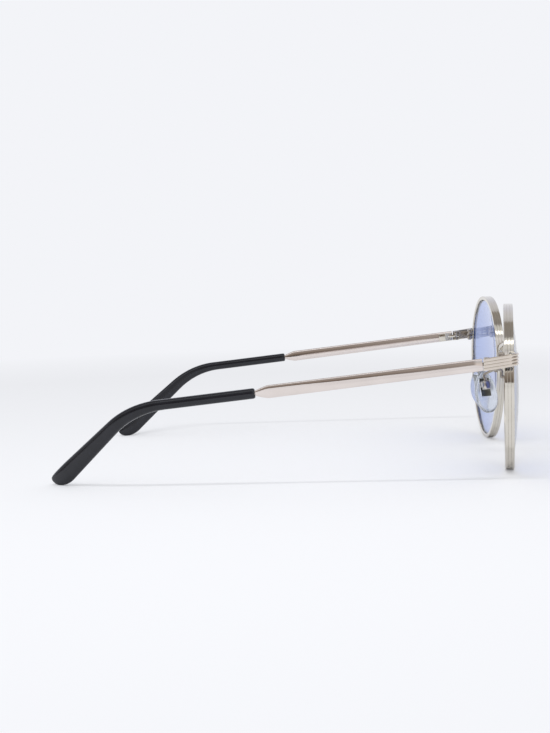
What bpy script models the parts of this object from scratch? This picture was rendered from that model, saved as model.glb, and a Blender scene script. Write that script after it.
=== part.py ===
"""Round metal sunglasses: reeded rims with their locks, tinted lenses, an arched bridge, ribbed
endpieces, three-barrel hinges, spear-ended temples in moulded tips, and nose pads on bent arms.
The wearer's left is +X, the front faces -Y, +Z is up, and the glasses stand on their rims and tips."""

import bmesh
import bpy
from math import asin, atan2, cos, hypot, pi, radians, sin, sqrt, tan
from mathutils import Euler, Vector

MM = 0.001

# Front
FRONT_WIDTH = 143.0 * MM
BRIDGE_WIDTH = 23.4 * MM
ENDPIECE_SIDE = 8.2 * MM

# Lenses, measured as an optician does
LENS_WIDTH = (FRONT_WIDTH - BRIDGE_WIDTH) / 2 - ENDPIECE_SIDE
LENS_HEIGHT = 53.1 * MM
LENS_THICKNESS = 2.0 * MM
LENS_CURVE = 150.0 * MM
PANTO = 0.1
WRAP = radians(5.6)
BEVEL_HEIGHT = 0.7 * MM
BEVEL_WIDTH = 1.2 * MM
BEVEL_FLAT = 0.2 * MM
LENS_FIT = 0.1 * MM

# Rims
RIM_DEPTH = 2.95 * MM
RIM_OUTSIDE = 0.8 * MM
RIM_LIP = 0.6 * MM
RIM_CHAMFER = 0.2 * MM
GROOVE_MOUTH = 1.6 * MM
GROOVE_FLOOR = 0.4 * MM
REEDS = 3
REED_HEIGHT = 0.22 * MM
RIM_SPLIT = 0.3 * MM
EYE_SEGMENTS = 60

# Rim locks
LOCK_RISE = 11.3 * MM
LOCK_HEIGHT = 1.8 * MM
LOCK_WIDTH = 2.6 * MM
LOCK_DEPTH = 2.0 * MM
LOCK_SCREW_RADIUS = 0.45 * MM
LOCK_HEAD_RADIUS = 0.8 * MM

# Joints between brazed pieces, and the slack round a screw
BRAZE = 0.1 * MM
SCREW_FIT = 0.08 * MM

# Bridge
BRIDGE_RISE = 9.0 * MM
BRIDGE_ARCH = 3.6 * MM
BRIDGE_FORWARD = 1.2 * MM
BRIDGE_DEPTH = 2.2 * MM
BRIDGE_HEIGHT = 2.5 * MM
BRIDGE_FULLNESS = 0.9

# Endpieces
ENDPIECE_FRONT = 0.15 * MM
ENDPIECE_REACH = 11.05 * MM
ENDPIECE_THICKNESS = 1.6 * MM
ENDPIECE_HEIGHT = 4.1 * MM
ENDPIECE_CORNER = 2.6 * MM
ENDPIECE_LEAN = radians(8)
ENDPIECE_CLIMB = radians(2.2)
ENDPIECE_CHAMFER = 0.3 * MM
RIBS = 4
RIB_HEIGHT = 0.22 * MM

# Hinges
HINGE_RISE = 10.3 * MM
HINGE_SETBACK = 1.35 * MM
HINGE_HEIGHT = 3.2 * MM
MIDDLE_BARREL = 1.0 * MM
BARREL_GAP = 0.1 * MM
BARREL_RADIUS = 1.1 * MM
HINGE_SCREW_RADIUS = 0.5 * MM
HINGE_HEAD_RADIUS = 0.9 * MM
LEAF_THICKNESS = 0.5 * MM
LEAF_LENGTH = 5.6 * MM
HOUSING_LENGTH = 5.3 * MM
HOUSING_THICKNESS = 2.3 * MM
HOUSING_CLEARANCE = 0.7 * MM
HOUSING_SLOT = 1.1 * MM
SLOT_DEPTH = 1.0 * MM

# Temples
TEMPLE_SPLIT = 0.25 * MM
TEMPLE_TOE_IN = radians(0.5)
BLADE_HEIGHT = 4.05 * MM
BLADE_THICKNESS = 1.5 * MM
BLADE_LENGTH = 65.7 * MM
SPEAR_LENGTH = 4.1 * MM
NECK_HEIGHT = 1.8 * MM
TANG_RADIUS = 0.7 * MM
TANG_LENGTH = 18.0 * MM
TANG_FIT = 0.1 * MM
TIP_SHOULDER_GAP = 0.15 * MM

# Temple tips
TIP_STRAIGHT = 29.3 * MM
TIP_BEND_LENGTH = 18.8 * MM
TIP_END_LENGTH = 23.1 * MM
TIP_DROP = radians(36.4)
TIP_CURL = radians(19.3)
TIP_HEIGHT = 3.2 * MM
TIP_END_HEIGHT = 6.1 * MM
TIP_THICKNESS = 3.0 * MM
TIP_END_THICKNESS = 2.6 * MM
TIP_MOUTH_SHARE = 0.86
TIP_ROUNDING = 7.9 * MM
TIP_LEAN = 0.95
TIP_BLUNTNESS = 0.12
TIP_MOUTH_CHAMFER = 0.3 * MM
TIP_STEP = 0.25 * MM

# Nose pads
PAD_HEIGHT = 15.2 * MM
PAD_WIDTH = 8.4 * MM
PAD_THICKNESS = 2.5 * MM
PAD_TAPER = 0.2
PAD_CENTRE_DROP = 2.4 * MM
PAD_CENTRE_FORWARD = 0.7 * MM
PAD_SPLAY = radians(30)
PAD_FLARE = radians(15)
PAD_PIVOT_SIDE = 9.6 * MM
PAD_PIVOT_BACK = 5.25 * MM
PAD_PIVOT_DROP = 2.0 * MM

# Pad inserts, boxes, screws and arms
INSERT_STANDOFF = 1.1 * MM
INSERT_THICKNESS = 0.6 * MM
INSERT_WIDTH = 3.3 * MM
INSERT_HEIGHT = 6.2 * MM
INSERT_DROP = 0.7 * MM
INSERT_FIT = 0.1 * MM
BOSS_WIDTH = 1.2 * MM
BOSS_RADIUS = 0.75 * MM
BOX_SIDE_GAP = 0.15 * MM
BOX_WALL = 0.45 * MM
BOX_HEIGHT = 2.8 * MM
BOX_REACH = 0.55 * MM
BOX_BACK_GAP = 0.3 * MM
BOX_BACK_THICKNESS = 1.1 * MM
PAD_SCREW_RADIUS = 0.35 * MM
PAD_HEAD_RADIUS = 0.95 * MM
ARM_RADIUS = 0.5 * MM
ARM_ROOT_RISE = 2.6 * MM
ARM_ARCH = 6.0 * MM
ARM_LEAVE = 0.6 * MM
ARM_DROP = 2.2 * MM
ARM_SHOULDER = 0.45

EDGE_ROUNDING = 0.25 * MM
HEAD_HEIGHT = 0.5 * MM
HEAD_EDGE = 0.6
HEAD_TOP = 0.7
SLOT_WIDTH = 0.3 * MM
SLOT_CUT = 0.25 * MM
ROUND_SIDES = 16

HALF_WIDTH = LENS_WIDTH / 2 / (1 + PANTO**2 / 2)
HALF_HEIGHT = LENS_HEIGHT / 2
EYE_SPACING = (LENS_WIDTH + BRIDGE_WIDTH) / 2
SIDES = {"left": 1, "right": -1}


def finish(name, colour, metallic, roughness, transmission=0.0):
    """A Principled material."""
    material = bpy.data.materials.new(name)
    material.use_nodes = True
    shader = material.node_tree.nodes["Principled BSDF"]
    shader.inputs["Base Color"].default_value = (*colour, 1.0)
    shader.inputs["Metallic"].default_value = metallic
    shader.inputs["Roughness"].default_value = roughness
    shader.inputs["Transmission Weight"].default_value = transmission
    return material


def mesh_from(name, made):
    """The finished mesh of a bmesh, faces outwards and round parts smooth."""
    bmesh.ops.recalc_face_normals(made, faces=made.faces)
    mesh = bpy.data.meshes.new(name)
    made.to_mesh(mesh)
    made.free()
    mesh.shade_smooth()
    mesh.set_sharp_from_angle(angle=radians(32))
    return mesh


def loft(name, rings, joined=False):
    """A closed skin over rings of points, which is capped at its ends or joined into a loop."""
    made = bmesh.new()
    loops = [[made.verts.new(point) for point in ring] for ring in rings]
    steps = list(zip(loops, loops[1:]))
    if joined:
        steps.append((loops[-1], loops[0]))
    else:
        made.faces.new(loops[0])
        made.faces.new(loops[-1])
    for near, far in steps:
        for i, corner in enumerate(near):
            made.faces.new((near[i - 1], corner, far[i], far[i - 1]))
    return mesh_from(name, made)


def prism(name, outline, low, high, axis="Z"):
    """An outline extruded from low to high. On axis X it lies in Y and Z, on axis Z in X and Y."""
    if axis == "X":
        rings = [[Vector((level, a, b)) for a, b in outline] for level in (low, high)]
    else:
        rings = [[Vector((a, b, level)) for a, b in outline] for level in (low, high)]
    return loft(name, rings)


def block(name, low, high):
    """A box between two corners."""
    outline = [(low[0], low[1]), (high[0], low[1]), (high[0], high[1]), (low[0], high[1])]
    return prism(name, outline, low[2], high[2])


def circle(radius, sides=ROUND_SIDES):
    """Points round a circle."""
    angles = [2 * pi * i / sides for i in range(sides)]
    return [(radius * cos(angle), radius * sin(angle)) for angle in angles]


def arc(radius, start, end, steps):
    """Points along an arc, from one angle to another."""
    angles = [start + (end - start) * i / steps for i in range(steps + 1)]
    return [(radius * cos(angle), radius * sin(angle)) for angle in angles]


def oval(width, height, count, power=2.0):
    """Points round an oval section. A power above 2 squares it off."""
    points = []
    for i in range(count):
        angle = 2 * pi * i / count
        reach = (abs(cos(angle)) ** power + abs(sin(angle)) ** power) ** (-1 / power)
        points.append((width / 2 * reach * cos(angle), height / 2 * reach * sin(angle)))
    return points


def reeded(width, reeds, height):
    """(place across, rise) points over a reeded face."""
    pitch = width / reeds
    points = []
    for reed in range(reeds):
        for share, rise in ((0.0, 0.0), (0.28, 1.0), (0.72, 1.0)):
            points.append((-width / 2 + (reed + share) * pitch, rise * height))
    return points + [(width / 2, 0.0)]


def smooth_path(points, steps):
    """Points along the smooth curve through the given ones."""
    path = []
    for i in range(len(points) - 1):
        start, end = points[i], points[i + 1]
        before = points[max(i - 1, 0)]
        after = points[min(i + 2, len(points) - 1)]
        for step in range(steps):
            t = step / steps
            path.append(
                start
                + (end - before) * (t / 2)
                + (2 * before - 5 * start + 4 * end - after) * (t**2 / 2)
                + (3 * start - 3 * end + after - before) * (t**3 / 2)
            )
    return path + [points[-1]]


def empty(name, parent=None, location=(0, 0, 0), rotation=(0, 0, 0)):
    """A pair of empties, left and right, that mirror each other."""
    made = {}
    for side, sign in SIDES.items():
        made[side] = bpy.data.objects.new(f"{name}_{side}", None)
        bpy.context.scene.collection.objects.link(made[side])
        set_place(made[side], sign, parent and parent[side], location, rotation)
    return made


def set_place(obj, sign, parent, location, rotation):
    """Puts an object at its place under its parent, mirrored where sign is -1."""
    obj.parent = parent
    obj.location = (sign * location[0], location[1], location[2])
    obj.rotation_euler = (rotation[0], sign * rotation[1], sign * rotation[2])


def pair(name, mesh, material, parent=None, location=(0, 0, 0), rotation=(0, 0, 0)):
    """The left piece and its mirror image on the right. Without a material they are cutters."""
    made = {}
    for side, sign in SIDES.items():
        own = mesh.copy()
        if sign < 0:
            for vertex in own.vertices:
                vertex.co.x = -vertex.co.x
            own.flip_normals()
        obj = bpy.data.objects.new(f"{name}_{side}", own)
        bpy.context.scene.collection.objects.link(obj)
        set_place(obj, sign, parent and parent[side], location, rotation)
        if material:
            own.materials.append(material)
        else:
            obj.hide_render = True
            obj.display_type = "WIRE"
        made[side] = obj
    return made


def combine(pieces, tools, operation):
    """A Boolean on the left and on the right piece."""
    for side in SIDES:
        modifier = pieces[side].modifiers.new(operation.lower(), "BOOLEAN")
        modifier.operation = operation
        modifier.solver = "EXACT"
        modifier.object = tools[side]


def soften(pieces, width):
    """A small rounding on the sharp edges of a pair."""
    for side in SIDES:
        modifier = pieces[side].modifiers.new("edges", "BEVEL")
        modifier.width = width
        modifier.segments = 2
        modifier.limit_method = "ANGLE"
        modifier.angle_limit = radians(40)


def screw(name, material, parent, location, rotation, shank, head, length):
    """A slotted screw whose head stands on z = 0 and whose shank goes down from it."""
    profile = [(-length, shank), (0, shank), (0, head)]
    profile += [(HEAD_HEIGHT * HEAD_EDGE, head), (HEAD_HEIGHT, head * HEAD_TOP)]
    rings = [[Vector((x, y, z)) for x, y in circle(radius, 12)] for z, radius in profile]
    screws = pair(name, loft(name, rings), material, parent, location, rotation)
    low = (-SLOT_WIDTH / 2, -2 * head, HEAD_HEIGHT - SLOT_CUT)
    high = (SLOT_WIDTH / 2, 2 * head, 2 * HEAD_HEIGHT)
    slots = pair(f"{name}_slot", block("slot", low, high), None, parent, location, rotation)
    combine(screws, slots, "DIFFERENCE")


# The lens outline

def eye_point(angle, offset, depth):
    """A point beside the lens outline: offset outwards from it, and depth in front of its plane."""
    x = HALF_WIDTH * cos(angle) * (1 + PANTO * sin(angle))
    z = HALF_HEIGHT * sin(angle)
    along_x = HALF_WIDTH * (PANTO * cos(2 * angle) - sin(angle))
    along_z = HALF_HEIGHT * cos(angle)
    length = hypot(along_x, along_z)
    return Vector((x + offset * along_z / length, -depth, z - offset * along_x / length))


def eye_angles():
    """The angles round an eye, with a flat facet at its lowest place."""
    return [-pi / 2 + (i + 0.5) * 2 * pi / EYE_SEGMENTS for i in range(EYE_SEGMENTS)]


def lens_mesh():
    """A curved lens of even thickness, with a bevel round its edge."""
    body = -BEVEL_HEIGHT
    edge_radius = HALF_HEIGHT + body
    centre = LENS_THICKNESS / 2 - sqrt(LENS_CURVE**2 - edge_radius**2)

    def surface(share, behind):
        ring = []
        for angle in eye_angles():
            point = eye_point(angle, body, 0) * share
            radius = hypot(point.x, point.z)
            point.y = behind - centre - sqrt(LENS_CURVE**2 - radius**2)
            ring.append(point)
        return ring

    shares = (0.12, 0.4, 0.7, 1.0)
    rings = [surface(share, 0) for share in shares]
    for offset, width in ((body, BEVEL_WIDTH), (0, BEVEL_FLAT), (0, -BEVEL_FLAT), (body, -BEVEL_WIDTH)):
        rings.append([eye_point(angle, offset, width / 2) for angle in eye_angles()])
    rings += [surface(share, LENS_THICKNESS) for share in reversed(shares)]
    return loft("lens", rings)


def rim_section():
    """(offset, depth) points round the rim wire: reeded outside, grooved for the lens inside."""
    face = RIM_DEPTH / 2
    reeds = reeded(RIM_DEPTH, REEDS, REED_HEIGHT)
    outside = [(RIM_OUTSIDE - REED_HEIGHT + rise, place) for place, rise in reeds]
    inside = []
    for offset, depth in (
        (RIM_CHAMFER - RIM_LIP, face),
        (-RIM_LIP, face - RIM_CHAMFER),
        (-RIM_LIP, GROOVE_MOUTH / 2),
        (LENS_FIT, GROOVE_FLOOR / 2),
    ):
        inside.append((offset, depth))
    return outside + inside + [(offset, -depth) for offset, depth in reversed(inside)]


def rim_mesh():
    """The rim wire, bent round the lens from one side of its split to the other."""
    gap = RIM_SPLIT / 2 / HALF_HEIGHT
    start, end = LOCK_ANGLE + gap, LOCK_ANGLE + 2 * pi - gap
    turns = [angle + 2 * pi * turn for turn in (-1, 0, 1) for angle in eye_angles()]
    between = [angle for angle in sorted(turns) if start + gap < angle < end - gap]
    rings = []
    for angle in [start, *between, end]:
        rings.append([eye_point(angle, offset, depth) for offset, depth in rim_section()])
    return loft("rim", rings)


def rim_space_mesh():
    """The space that a piece brazed to the rim keeps clear of."""
    low, high = -4 * RIM_OUTSIDE, RIM_OUTSIDE + BRAZE
    face = RIM_DEPTH / 2 + BRAZE
    section = ((low, -face), (high, -face), (high, face), (low, face))
    rings = []
    for angle in eye_angles():
        rings.append([eye_point(angle, offset, depth) for offset, depth in section])
    return loft("rim_space", rings, joined=True)


# The temple, in its own axes: Y runs back from the hinge, Z is up, X is outwards

def temple_sections():
    """(centre, direction, width, height) along the moulded tip, from its mouth to its rounded end."""
    length = TIP_STRAIGHT + TIP_BEND_LENGTH + TIP_END_LENGTH
    places = [0, TIP_MOUTH_CHAMFER, TIP_STRAIGHT / 2]
    places += [TIP_STRAIGHT + TIP_BEND_LENGTH * i / 7 for i in range(8)]
    places += [length - TIP_END_LENGTH * share for share in (0.5, 0.0)]
    sections = []
    centre = Vector((BLADE_X, TIP_MOUTH, 0))
    along = 0.0
    for place in places:
        while along < place - TIP_STEP / 2:
            centre = centre + tip_direction(along + TIP_STEP / 2) * TIP_STEP
            along += TIP_STEP
        grown = max(0.0, (along - TIP_STRAIGHT) / (length - TIP_STRAIGHT))
        height = TIP_HEIGHT + (TIP_END_HEIGHT - TIP_HEIGHT) * grown
        width = TIP_THICKNESS + (TIP_END_THICKNESS - TIP_THICKNESS) * grown
        if place == 0:
            height, width = height * TIP_MOUTH_SHARE, width * TIP_MOUTH_SHARE
        sections.append((centre, tip_direction(along), width, height))
    direction = tip_direction(length)
    up = section_axes(direction)[1]
    for reach in (0.3, 0.6, 0.8, 0.93, 1.0):
        narrowed = sqrt(1 - reach**2) + TIP_BLUNTNESS * reach
        width, height = TIP_END_THICKNESS * narrowed, TIP_END_HEIGHT * narrowed
        leaned = up * ((TIP_END_HEIGHT - height) / 2 * TIP_LEAN)
        sections.append((centre + direction * (TIP_ROUNDING * reach) + leaned, direction, width, height))
    return sections


def tip_direction(along):
    """Which way the tip runs at a distance from its mouth."""
    turned = min(1.0, max(0.0, (along - TIP_STRAIGHT) / TIP_BEND_LENGTH))
    drop, curl = TIP_DROP * turned, TIP_CURL * turned
    return Vector((-sin(curl), cos(curl) * cos(drop), -cos(curl) * sin(drop)))


def section_axes(direction):
    """The across and up axes of a section square to a direction."""
    up = (Vector((0, 0, 1)) - direction * direction.z).normalized()
    return direction.cross(up), up


def tip_rings():
    """The rings of points round the tip."""
    rings = []
    for centre, direction, width, height in temple_sections():
        across, up = section_axes(direction)
        rings.append([centre + across * a + up * b for a, b in oval(width, height, 14, 2.3)])
    return rings


def temple_slope():
    """How far the temples point down, which brings their tips to the surface that the rims stand on."""
    points = [point for ring in tip_rings() for point in ring]
    shallow, steep = 0.0, radians(30)
    for _ in range(30):
        slope = (shallow + steep) / 2
        turn = Euler((-slope, 0, TEMPLE_TOE_IN)).to_matrix()
        lowest = min((turn @ point).z for point in points)
        if EYE_HEIGHT + HINGE_RISE + lowest > 0:
            shallow = slope
        else:
            steep = slope
    return (shallow + steep) / 2


def blade_mesh():
    """The metal temple: an oval blade, a spear end and the tang that goes into the tip."""
    start = HINGE_SETBACK + TEMPLE_SPLIT / 2
    neck = start + BLADE_LENGTH + SPEAR_LENGTH
    rings = []
    for y in (start, start + BLADE_LENGTH / 2, start + BLADE_LENGTH):
        rings.append((y, BLADE_THICKNESS, BLADE_HEIGHT))
    for share in (0.3, 0.6, 0.8, 1.0):
        height = NECK_HEIGHT + (BLADE_HEIGHT - NECK_HEIGHT) * (1 - share**1.3)
        rings.append((start + BLADE_LENGTH + SPEAR_LENGTH * share, BLADE_THICKNESS, height))
    rings.append((neck + TIP_SHOULDER_GAP / 3, 2 * TANG_RADIUS, 2 * TANG_RADIUS))
    rings.append((neck + TANG_LENGTH, 2 * TANG_RADIUS, 2 * TANG_RADIUS))
    loops = []
    for y, width, height in rings:
        loops.append([Vector((BLADE_X + a, y, b)) for a, b in oval(width, height, 16, 2.2)])
    return loft("temple_blade", loops)


# The endpiece, seen from above

def endpiece_mesh():
    """The ribbed bar that leaves the rim, turns the corner and runs back to the hinge."""
    half = ENDPIECE_THICKNESS / 2
    outer = FRONT_WIDTH / 2 - half
    middle_x = outer - ENDPIECE_CORNER
    middle_y = ENDPIECE_FRONT + half + ENDPIECE_CORNER
    start_angle = -pi / 2 - ENDPIECE_LEAN
    plan = []
    for x, y in arc(ENDPIECE_CORNER, start_angle, 0, 8):
        angle = atan2(y, x)
        plan.append((Vector((middle_x + x, middle_y + y, 0)), Vector((cos(angle), sin(angle), 0))))
    first, outward = plan[0]
    along = Vector((-outward.y, outward.x, 0))
    rim_edge = eye_point(asin(HINGE_RISE / HALF_HEIGHT), -RIM_OUTSIDE, 0).x
    rim_edge = EYE_SPACING + cos(WRAP) * rim_edge
    plan.insert(0, (first - along * ((first.x - rim_edge) / along.x), outward))
    plan.append((Vector((outer, SPLIT_BACK - TEMPLE_SPLIT / 2, 0)), Vector((1, 0, 0))))
    height = ENDPIECE_HEIGHT
    ribs = [(half - RIB_HEIGHT + rise, place) for place, rise in reeded(height, RIBS, RIB_HEIGHT)]
    cut = ENDPIECE_CHAMFER
    back = [(cut - half, height / 2), (-half, height / 2 - cut)]
    back += [(-half, cut - height / 2), (cut - half, -height / 2)]
    rings = []
    for place, outward in plan:
        rise = EYE_HEIGHT + HINGE_RISE + (HINGE_BACK - place.y) * tan(SLOPE + ENDPIECE_CLIMB)
        ring = []
        for a, b in ribs + back:
            ring.append(Vector((place.x, place.y, rise)) + outward * a + Vector((0, 0, b)))
        rings.append(ring)
    return loft("endpiece", rings)


def bridge_mesh():
    """The arched bar between the rims."""
    side = EYE_SPACING - cos(WRAP) * (HALF_WIDTH - RIM_OUTSIDE)
    front = -sin(WRAP) * HALF_WIDTH
    rings = []
    steps = 14
    for i in range(steps + 1):
        share = 2 * i / steps - 1
        rise = sqrt(1 - BRIDGE_FULLNESS * share**2)
        centre = Vector((side * share, front - BRIDGE_FORWARD * (1 - share**2), 0))
        centre.z = EYE_HEIGHT + BRIDGE_RISE + BRIDGE_ARCH * (rise - sqrt(1 - BRIDGE_FULLNESS))
        slope = -BRIDGE_ARCH * BRIDGE_FULLNESS * share / rise / side
        direction = Vector((1, 0, slope)).normalized()
        up = Vector((-direction.z, 0, direction.x))
        section = oval(BRIDGE_DEPTH, BRIDGE_HEIGHT, 14, 2.4)
        rings.append([centre + Vector((0, 1, 0)) * a + up * b for a, b in section])
    return loft("bridge", rings)


# Hinge pieces, in axes on the hinge: Z is the screw, Y runs back, X is outwards

def front_knuckle():
    """Outline of an endpiece barrel and its web to the leaf."""
    leaf = BARREL_RADIUS + LEAF_THICKNESS / 2
    round_part = arc(BARREL_RADIUS, 0, 1.5 * pi, 12)
    return [(leaf, -BARREL_RADIUS), (leaf, 0)] + round_part


def rear_knuckle():
    """Outline of the temple barrel and its neck to the housing."""
    back = HOUSING_START + HOUSING_LENGTH / 4
    return arc(BARREL_RADIUS, pi, 2 * pi, 8) + [(BARREL_RADIUS, back), (-BARREL_RADIUS, back)]


def leaf_outline():
    """The endpiece leaf from the side, with its round front end, as (back, up)."""
    radius = HINGE_HEIGHT / 2
    nose = [(x - LEAF_LENGTH + radius, z) for x, z in arc(radius, pi / 2, 1.5 * pi, 8)]
    return nose + [(0, -radius), (0, radius)]


# Pad pieces, in axes on the pad screw: Y runs back across the pad, Z up it, -X towards the nose

def pad_mesh():
    """A drop-shaped pad with a flat back, a full edge and a domed face."""
    rings = []
    face = INSERT_STANDOFF
    layers = (
        (0.86, 0.0),
        (0.97, 0.12),
        (1.0, 0.32),
        (0.95, 0.6),
        (0.78, 0.84),
        (0.45, 0.97),
        (0.12, 1.0),
    )
    for scale, share in layers:
        ring = []
        for i in range(22):
            angle = 2 * pi * i / 22
            y = PAD_WIDTH / 2 * cos(angle) * (1 - PAD_TAPER * sin(angle)) * scale - PAD_CENTRE_FORWARD
            z = PAD_HEIGHT / 2 * sin(angle) * scale - PAD_CENTRE_DROP
            ring.append(Vector((-face - share * PAD_THICKNESS, y, z)))
        rings.append(ring)
    return loft("nose_pad", rings)


def insert_blocks(grown):
    """The insert's plate, larger by the given clearance where it is the pad's pocket."""
    half = INSERT_WIDTH / 2 + grown
    middle = -INSERT_DROP
    low = (-INSERT_STANDOFF - INSERT_THICKNESS - grown, -half, middle - INSERT_HEIGHT / 2 - grown)
    high = (-INSERT_STANDOFF + 3 * grown, half, middle + INSERT_HEIGHT / 2 + grown)
    return block("insert", low, high)


def boss_outline():
    """The insert's boss from the side, rounded about the screw, as (x, z)."""
    root = -INSERT_STANDOFF - INSERT_THICKNESS / 2
    return [(root, BOSS_RADIUS)] + arc(BOSS_RADIUS, pi / 2, -pi / 2, 8) + [(root, -BOSS_RADIUS)]


def across_prism(name, outline, low, high):
    """An outline in X and Z extruded along Y."""
    rings = [[Vector((a, level, b)) for a, b in outline] for level in (low, high)]
    return loft(name, rings)


def arm_mesh():
    """The bent wire from the back of the rim, over an arch and down to the box."""
    eye = Euler((0, 0, WRAP)).to_matrix()
    middle = Vector((EYE_SPACING, 0, EYE_HEIGHT))
    root_angle = pi - asin(ARM_ROOT_RISE / HALF_HEIGHT)
    root = middle + eye @ eye_point(root_angle, (RIM_OUTSIDE - RIM_LIP) / 2, -RIM_DEPTH / 2 - BRAZE)
    back = eye @ Vector((0, 1, 0))
    pad = Euler((0, -PAD_FLARE, -PAD_SPLAY)).to_matrix()
    up = pad @ Vector((0, 0, 1))
    end = PAD_PIVOT + pad @ Vector((BOX_BACK_MIDDLE, 0, BOX_HEIGHT / 2 + BRAZE))
    over = (root + end) / 2
    over.z = EYE_HEIGHT + ARM_ARCH - ARM_RADIUS
    shoulder = Vector((root.x, root.y, over.z)).lerp(over, ARM_SHOULDER) - Vector((0, 0, ARM_RADIUS))
    drop = end + up * ARM_DROP
    points = [root, root + back * ARM_LEAVE, shoulder, over, drop, end + up * ARM_RADIUS, end]
    path = smooth_path(points, 4)
    rings = []
    for i, point in enumerate(path):
        direction = (path[min(i + 1, len(path) - 1)] - path[max(i - 1, 0)]).normalized()
        if i == 0:
            direction = back
        if i == len(path) - 1:
            direction = -up
        across = direction.cross(Vector((1, 0, 0))).normalized()
        other = direction.cross(across)
        rings.append([point + across * a + other * b for a, b in circle(ARM_RADIUS, 8)])
    return loft("pad_arm", rings)


for old in list(bpy.data.objects):
    bpy.data.objects.remove(old)

# Places that follow from the sizes
EYE_HEIGHT = -eye_point(-pi / 2 + pi / EYE_SEGMENTS, RIM_OUTSIDE, 0).z
LOCK_ANGLE = asin(LOCK_RISE / HALF_HEIGHT)
SPLIT_BACK = ENDPIECE_FRONT + ENDPIECE_REACH
HINGE_BACK = SPLIT_BACK - HINGE_SETBACK
HINGE_SIDE = FRONT_WIDTH / 2 - ENDPIECE_THICKNESS - BRAZE - LEAF_THICKNESS - BARREL_RADIUS
HINGE = Vector((HINGE_SIDE, HINGE_BACK, EYE_HEIGHT + HINGE_RISE))
BLADE_X = FRONT_WIDTH / 2 - HINGE_SIDE - BLADE_THICKNESS / 2
BLADE_BACK = HINGE_SETBACK + TEMPLE_SPLIT / 2 + BLADE_LENGTH + SPEAR_LENGTH
TIP_MOUTH = BLADE_BACK + TIP_SHOULDER_GAP
HOUSING_START = BARREL_RADIUS + HOUSING_CLEARANCE
BOX_BACK_MIDDLE = BOSS_RADIUS + BOX_BACK_GAP + BOX_BACK_THICKNESS / 2
PAD_PIVOT = Vector((PAD_PIVOT_SIDE, PAD_PIVOT_BACK, EYE_HEIGHT - PAD_PIVOT_DROP))
SLOPE = temple_slope()

# Finishes
metal = finish("polished_metal", (0.78, 0.74, 0.71), 1.0, 0.16)
steel = finish("screw_steel", (0.62, 0.61, 0.6), 1.0, 0.3)
tint = finish("blue_lens", (0.42, 0.52, 0.86), 0.0, 0.03, 0.8)
acetate = finish("black_acetate", (0.02, 0.02, 0.024), 0.0, 0.22)
silicone = finish("clear_silicone", (0.84, 0.88, 0.93), 0.0, 0.15, 0.7)
dark = finish("dark_insert", (0.1, 0.1, 0.09), 0.6, 0.35)

# Eyes
glasses = empty("glasses")
eye = empty("eye", glasses, (EYE_SPACING, 0, EYE_HEIGHT), (0, 0, WRAP))
rims = pair("rim", rim_mesh(), metal, eye)
lenses = pair("lens", lens_mesh(), tint, eye)
rim_space = pair("rim_space", rim_space_mesh(), None, eye)

# Rim locks, square to the split, with the screw along the rim
normal = (eye_point(LOCK_ANGLE, 1, 0) - eye_point(LOCK_ANGLE, 0, 0)).normalized()
lock_place = eye_point(LOCK_ANGLE, (RIM_OUTSIDE - RIM_LIP) / 2, -RIM_DEPTH / 2 - BRAZE - LOCK_DEPTH / 2)
lock_turn = (0, -atan2(normal.z, normal.x), 0)
lock = empty("lock", eye, lock_place, lock_turn)
half_wide, half_deep = LOCK_WIDTH / 2, LOCK_DEPTH / 2
low, high = (-half_wide, -half_deep, RIM_SPLIT / 2), (half_wide, half_deep, LOCK_HEIGHT)
upper_lock = block("lock_upper", low, high)
low, high = (-half_wide, -half_deep, -LOCK_HEIGHT), (half_wide, half_deep, -RIM_SPLIT / 2)
lower_lock = block("lock_lower", low, high)
hole = prism("hole", circle(LOCK_SCREW_RADIUS + SCREW_FIT), -2 * LOCK_HEIGHT, 2 * LOCK_HEIGHT)
lock_hole = pair("lock_hole", hole, None, lock)
for name, mesh in (("rim_lock_upper", upper_lock), ("rim_lock_lower", lower_lock)):
    blocks = pair(name, mesh, metal, lock)
    soften(blocks, EDGE_ROUNDING)
    combine(blocks, lock_hole, "DIFFERENCE")
screw(
    "rim_screw",
    steel,
    lock,
    (0, 0, -LOCK_HEIGHT - BRAZE),
    (pi, 0, 0),
    LOCK_SCREW_RADIUS,
    LOCK_HEAD_RADIUS,
    2 * LOCK_HEIGHT,
)

# Bridge
bridge = bpy.data.objects.new("bridge", bridge_mesh())
bpy.context.scene.collection.objects.link(bridge)
bridge.data.materials.append(metal)
bridge.parent = glasses["left"]
for side in SIDES:
    modifier = bridge.modifiers.new(f"rim_{side}", "BOOLEAN")
    modifier.operation = "DIFFERENCE"
    modifier.solver = "EXACT"
    modifier.object = rim_space[side]

# Endpieces
endpieces = pair("endpiece", endpiece_mesh(), metal, glasses)
combine(endpieces, rim_space, "DIFFERENCE")

# Hinges: the leaf and housing lie along the sloping temple, the barrels stand upright
hinge = empty("hinge_axis", glasses, HINGE)
sloped = (-SLOPE, 0, 0)
half_hinge = HINGE_HEIGHT / 2
half_middle = MIDDLE_BARREL / 2
leaf = prism("leaf", leaf_outline(), BARREL_RADIUS, BARREL_RADIUS + LEAF_THICKNESS, "X")
leaves = pair("hinge_front", leaf, metal, hinge, (0, 0, 0), sloped)
top_knuckle = prism("knuckle", front_knuckle(), half_middle + BARREL_GAP, half_hinge)
low_knuckle = prism("knuckle", front_knuckle(), -half_hinge, -half_middle - BARREL_GAP)
combine(leaves, pair("knuckle_top", top_knuckle, None, hinge), "UNION")
combine(leaves, pair("knuckle_low", low_knuckle, None, hinge), "UNION")
bore = prism("bore", circle(HINGE_SCREW_RADIUS + SCREW_FIT), -HINGE_HEIGHT, HINGE_HEIGHT)
hinge_bore = pair("hinge_bore", bore, None, hinge)
combine(leaves, hinge_bore, "DIFFERENCE")
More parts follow.
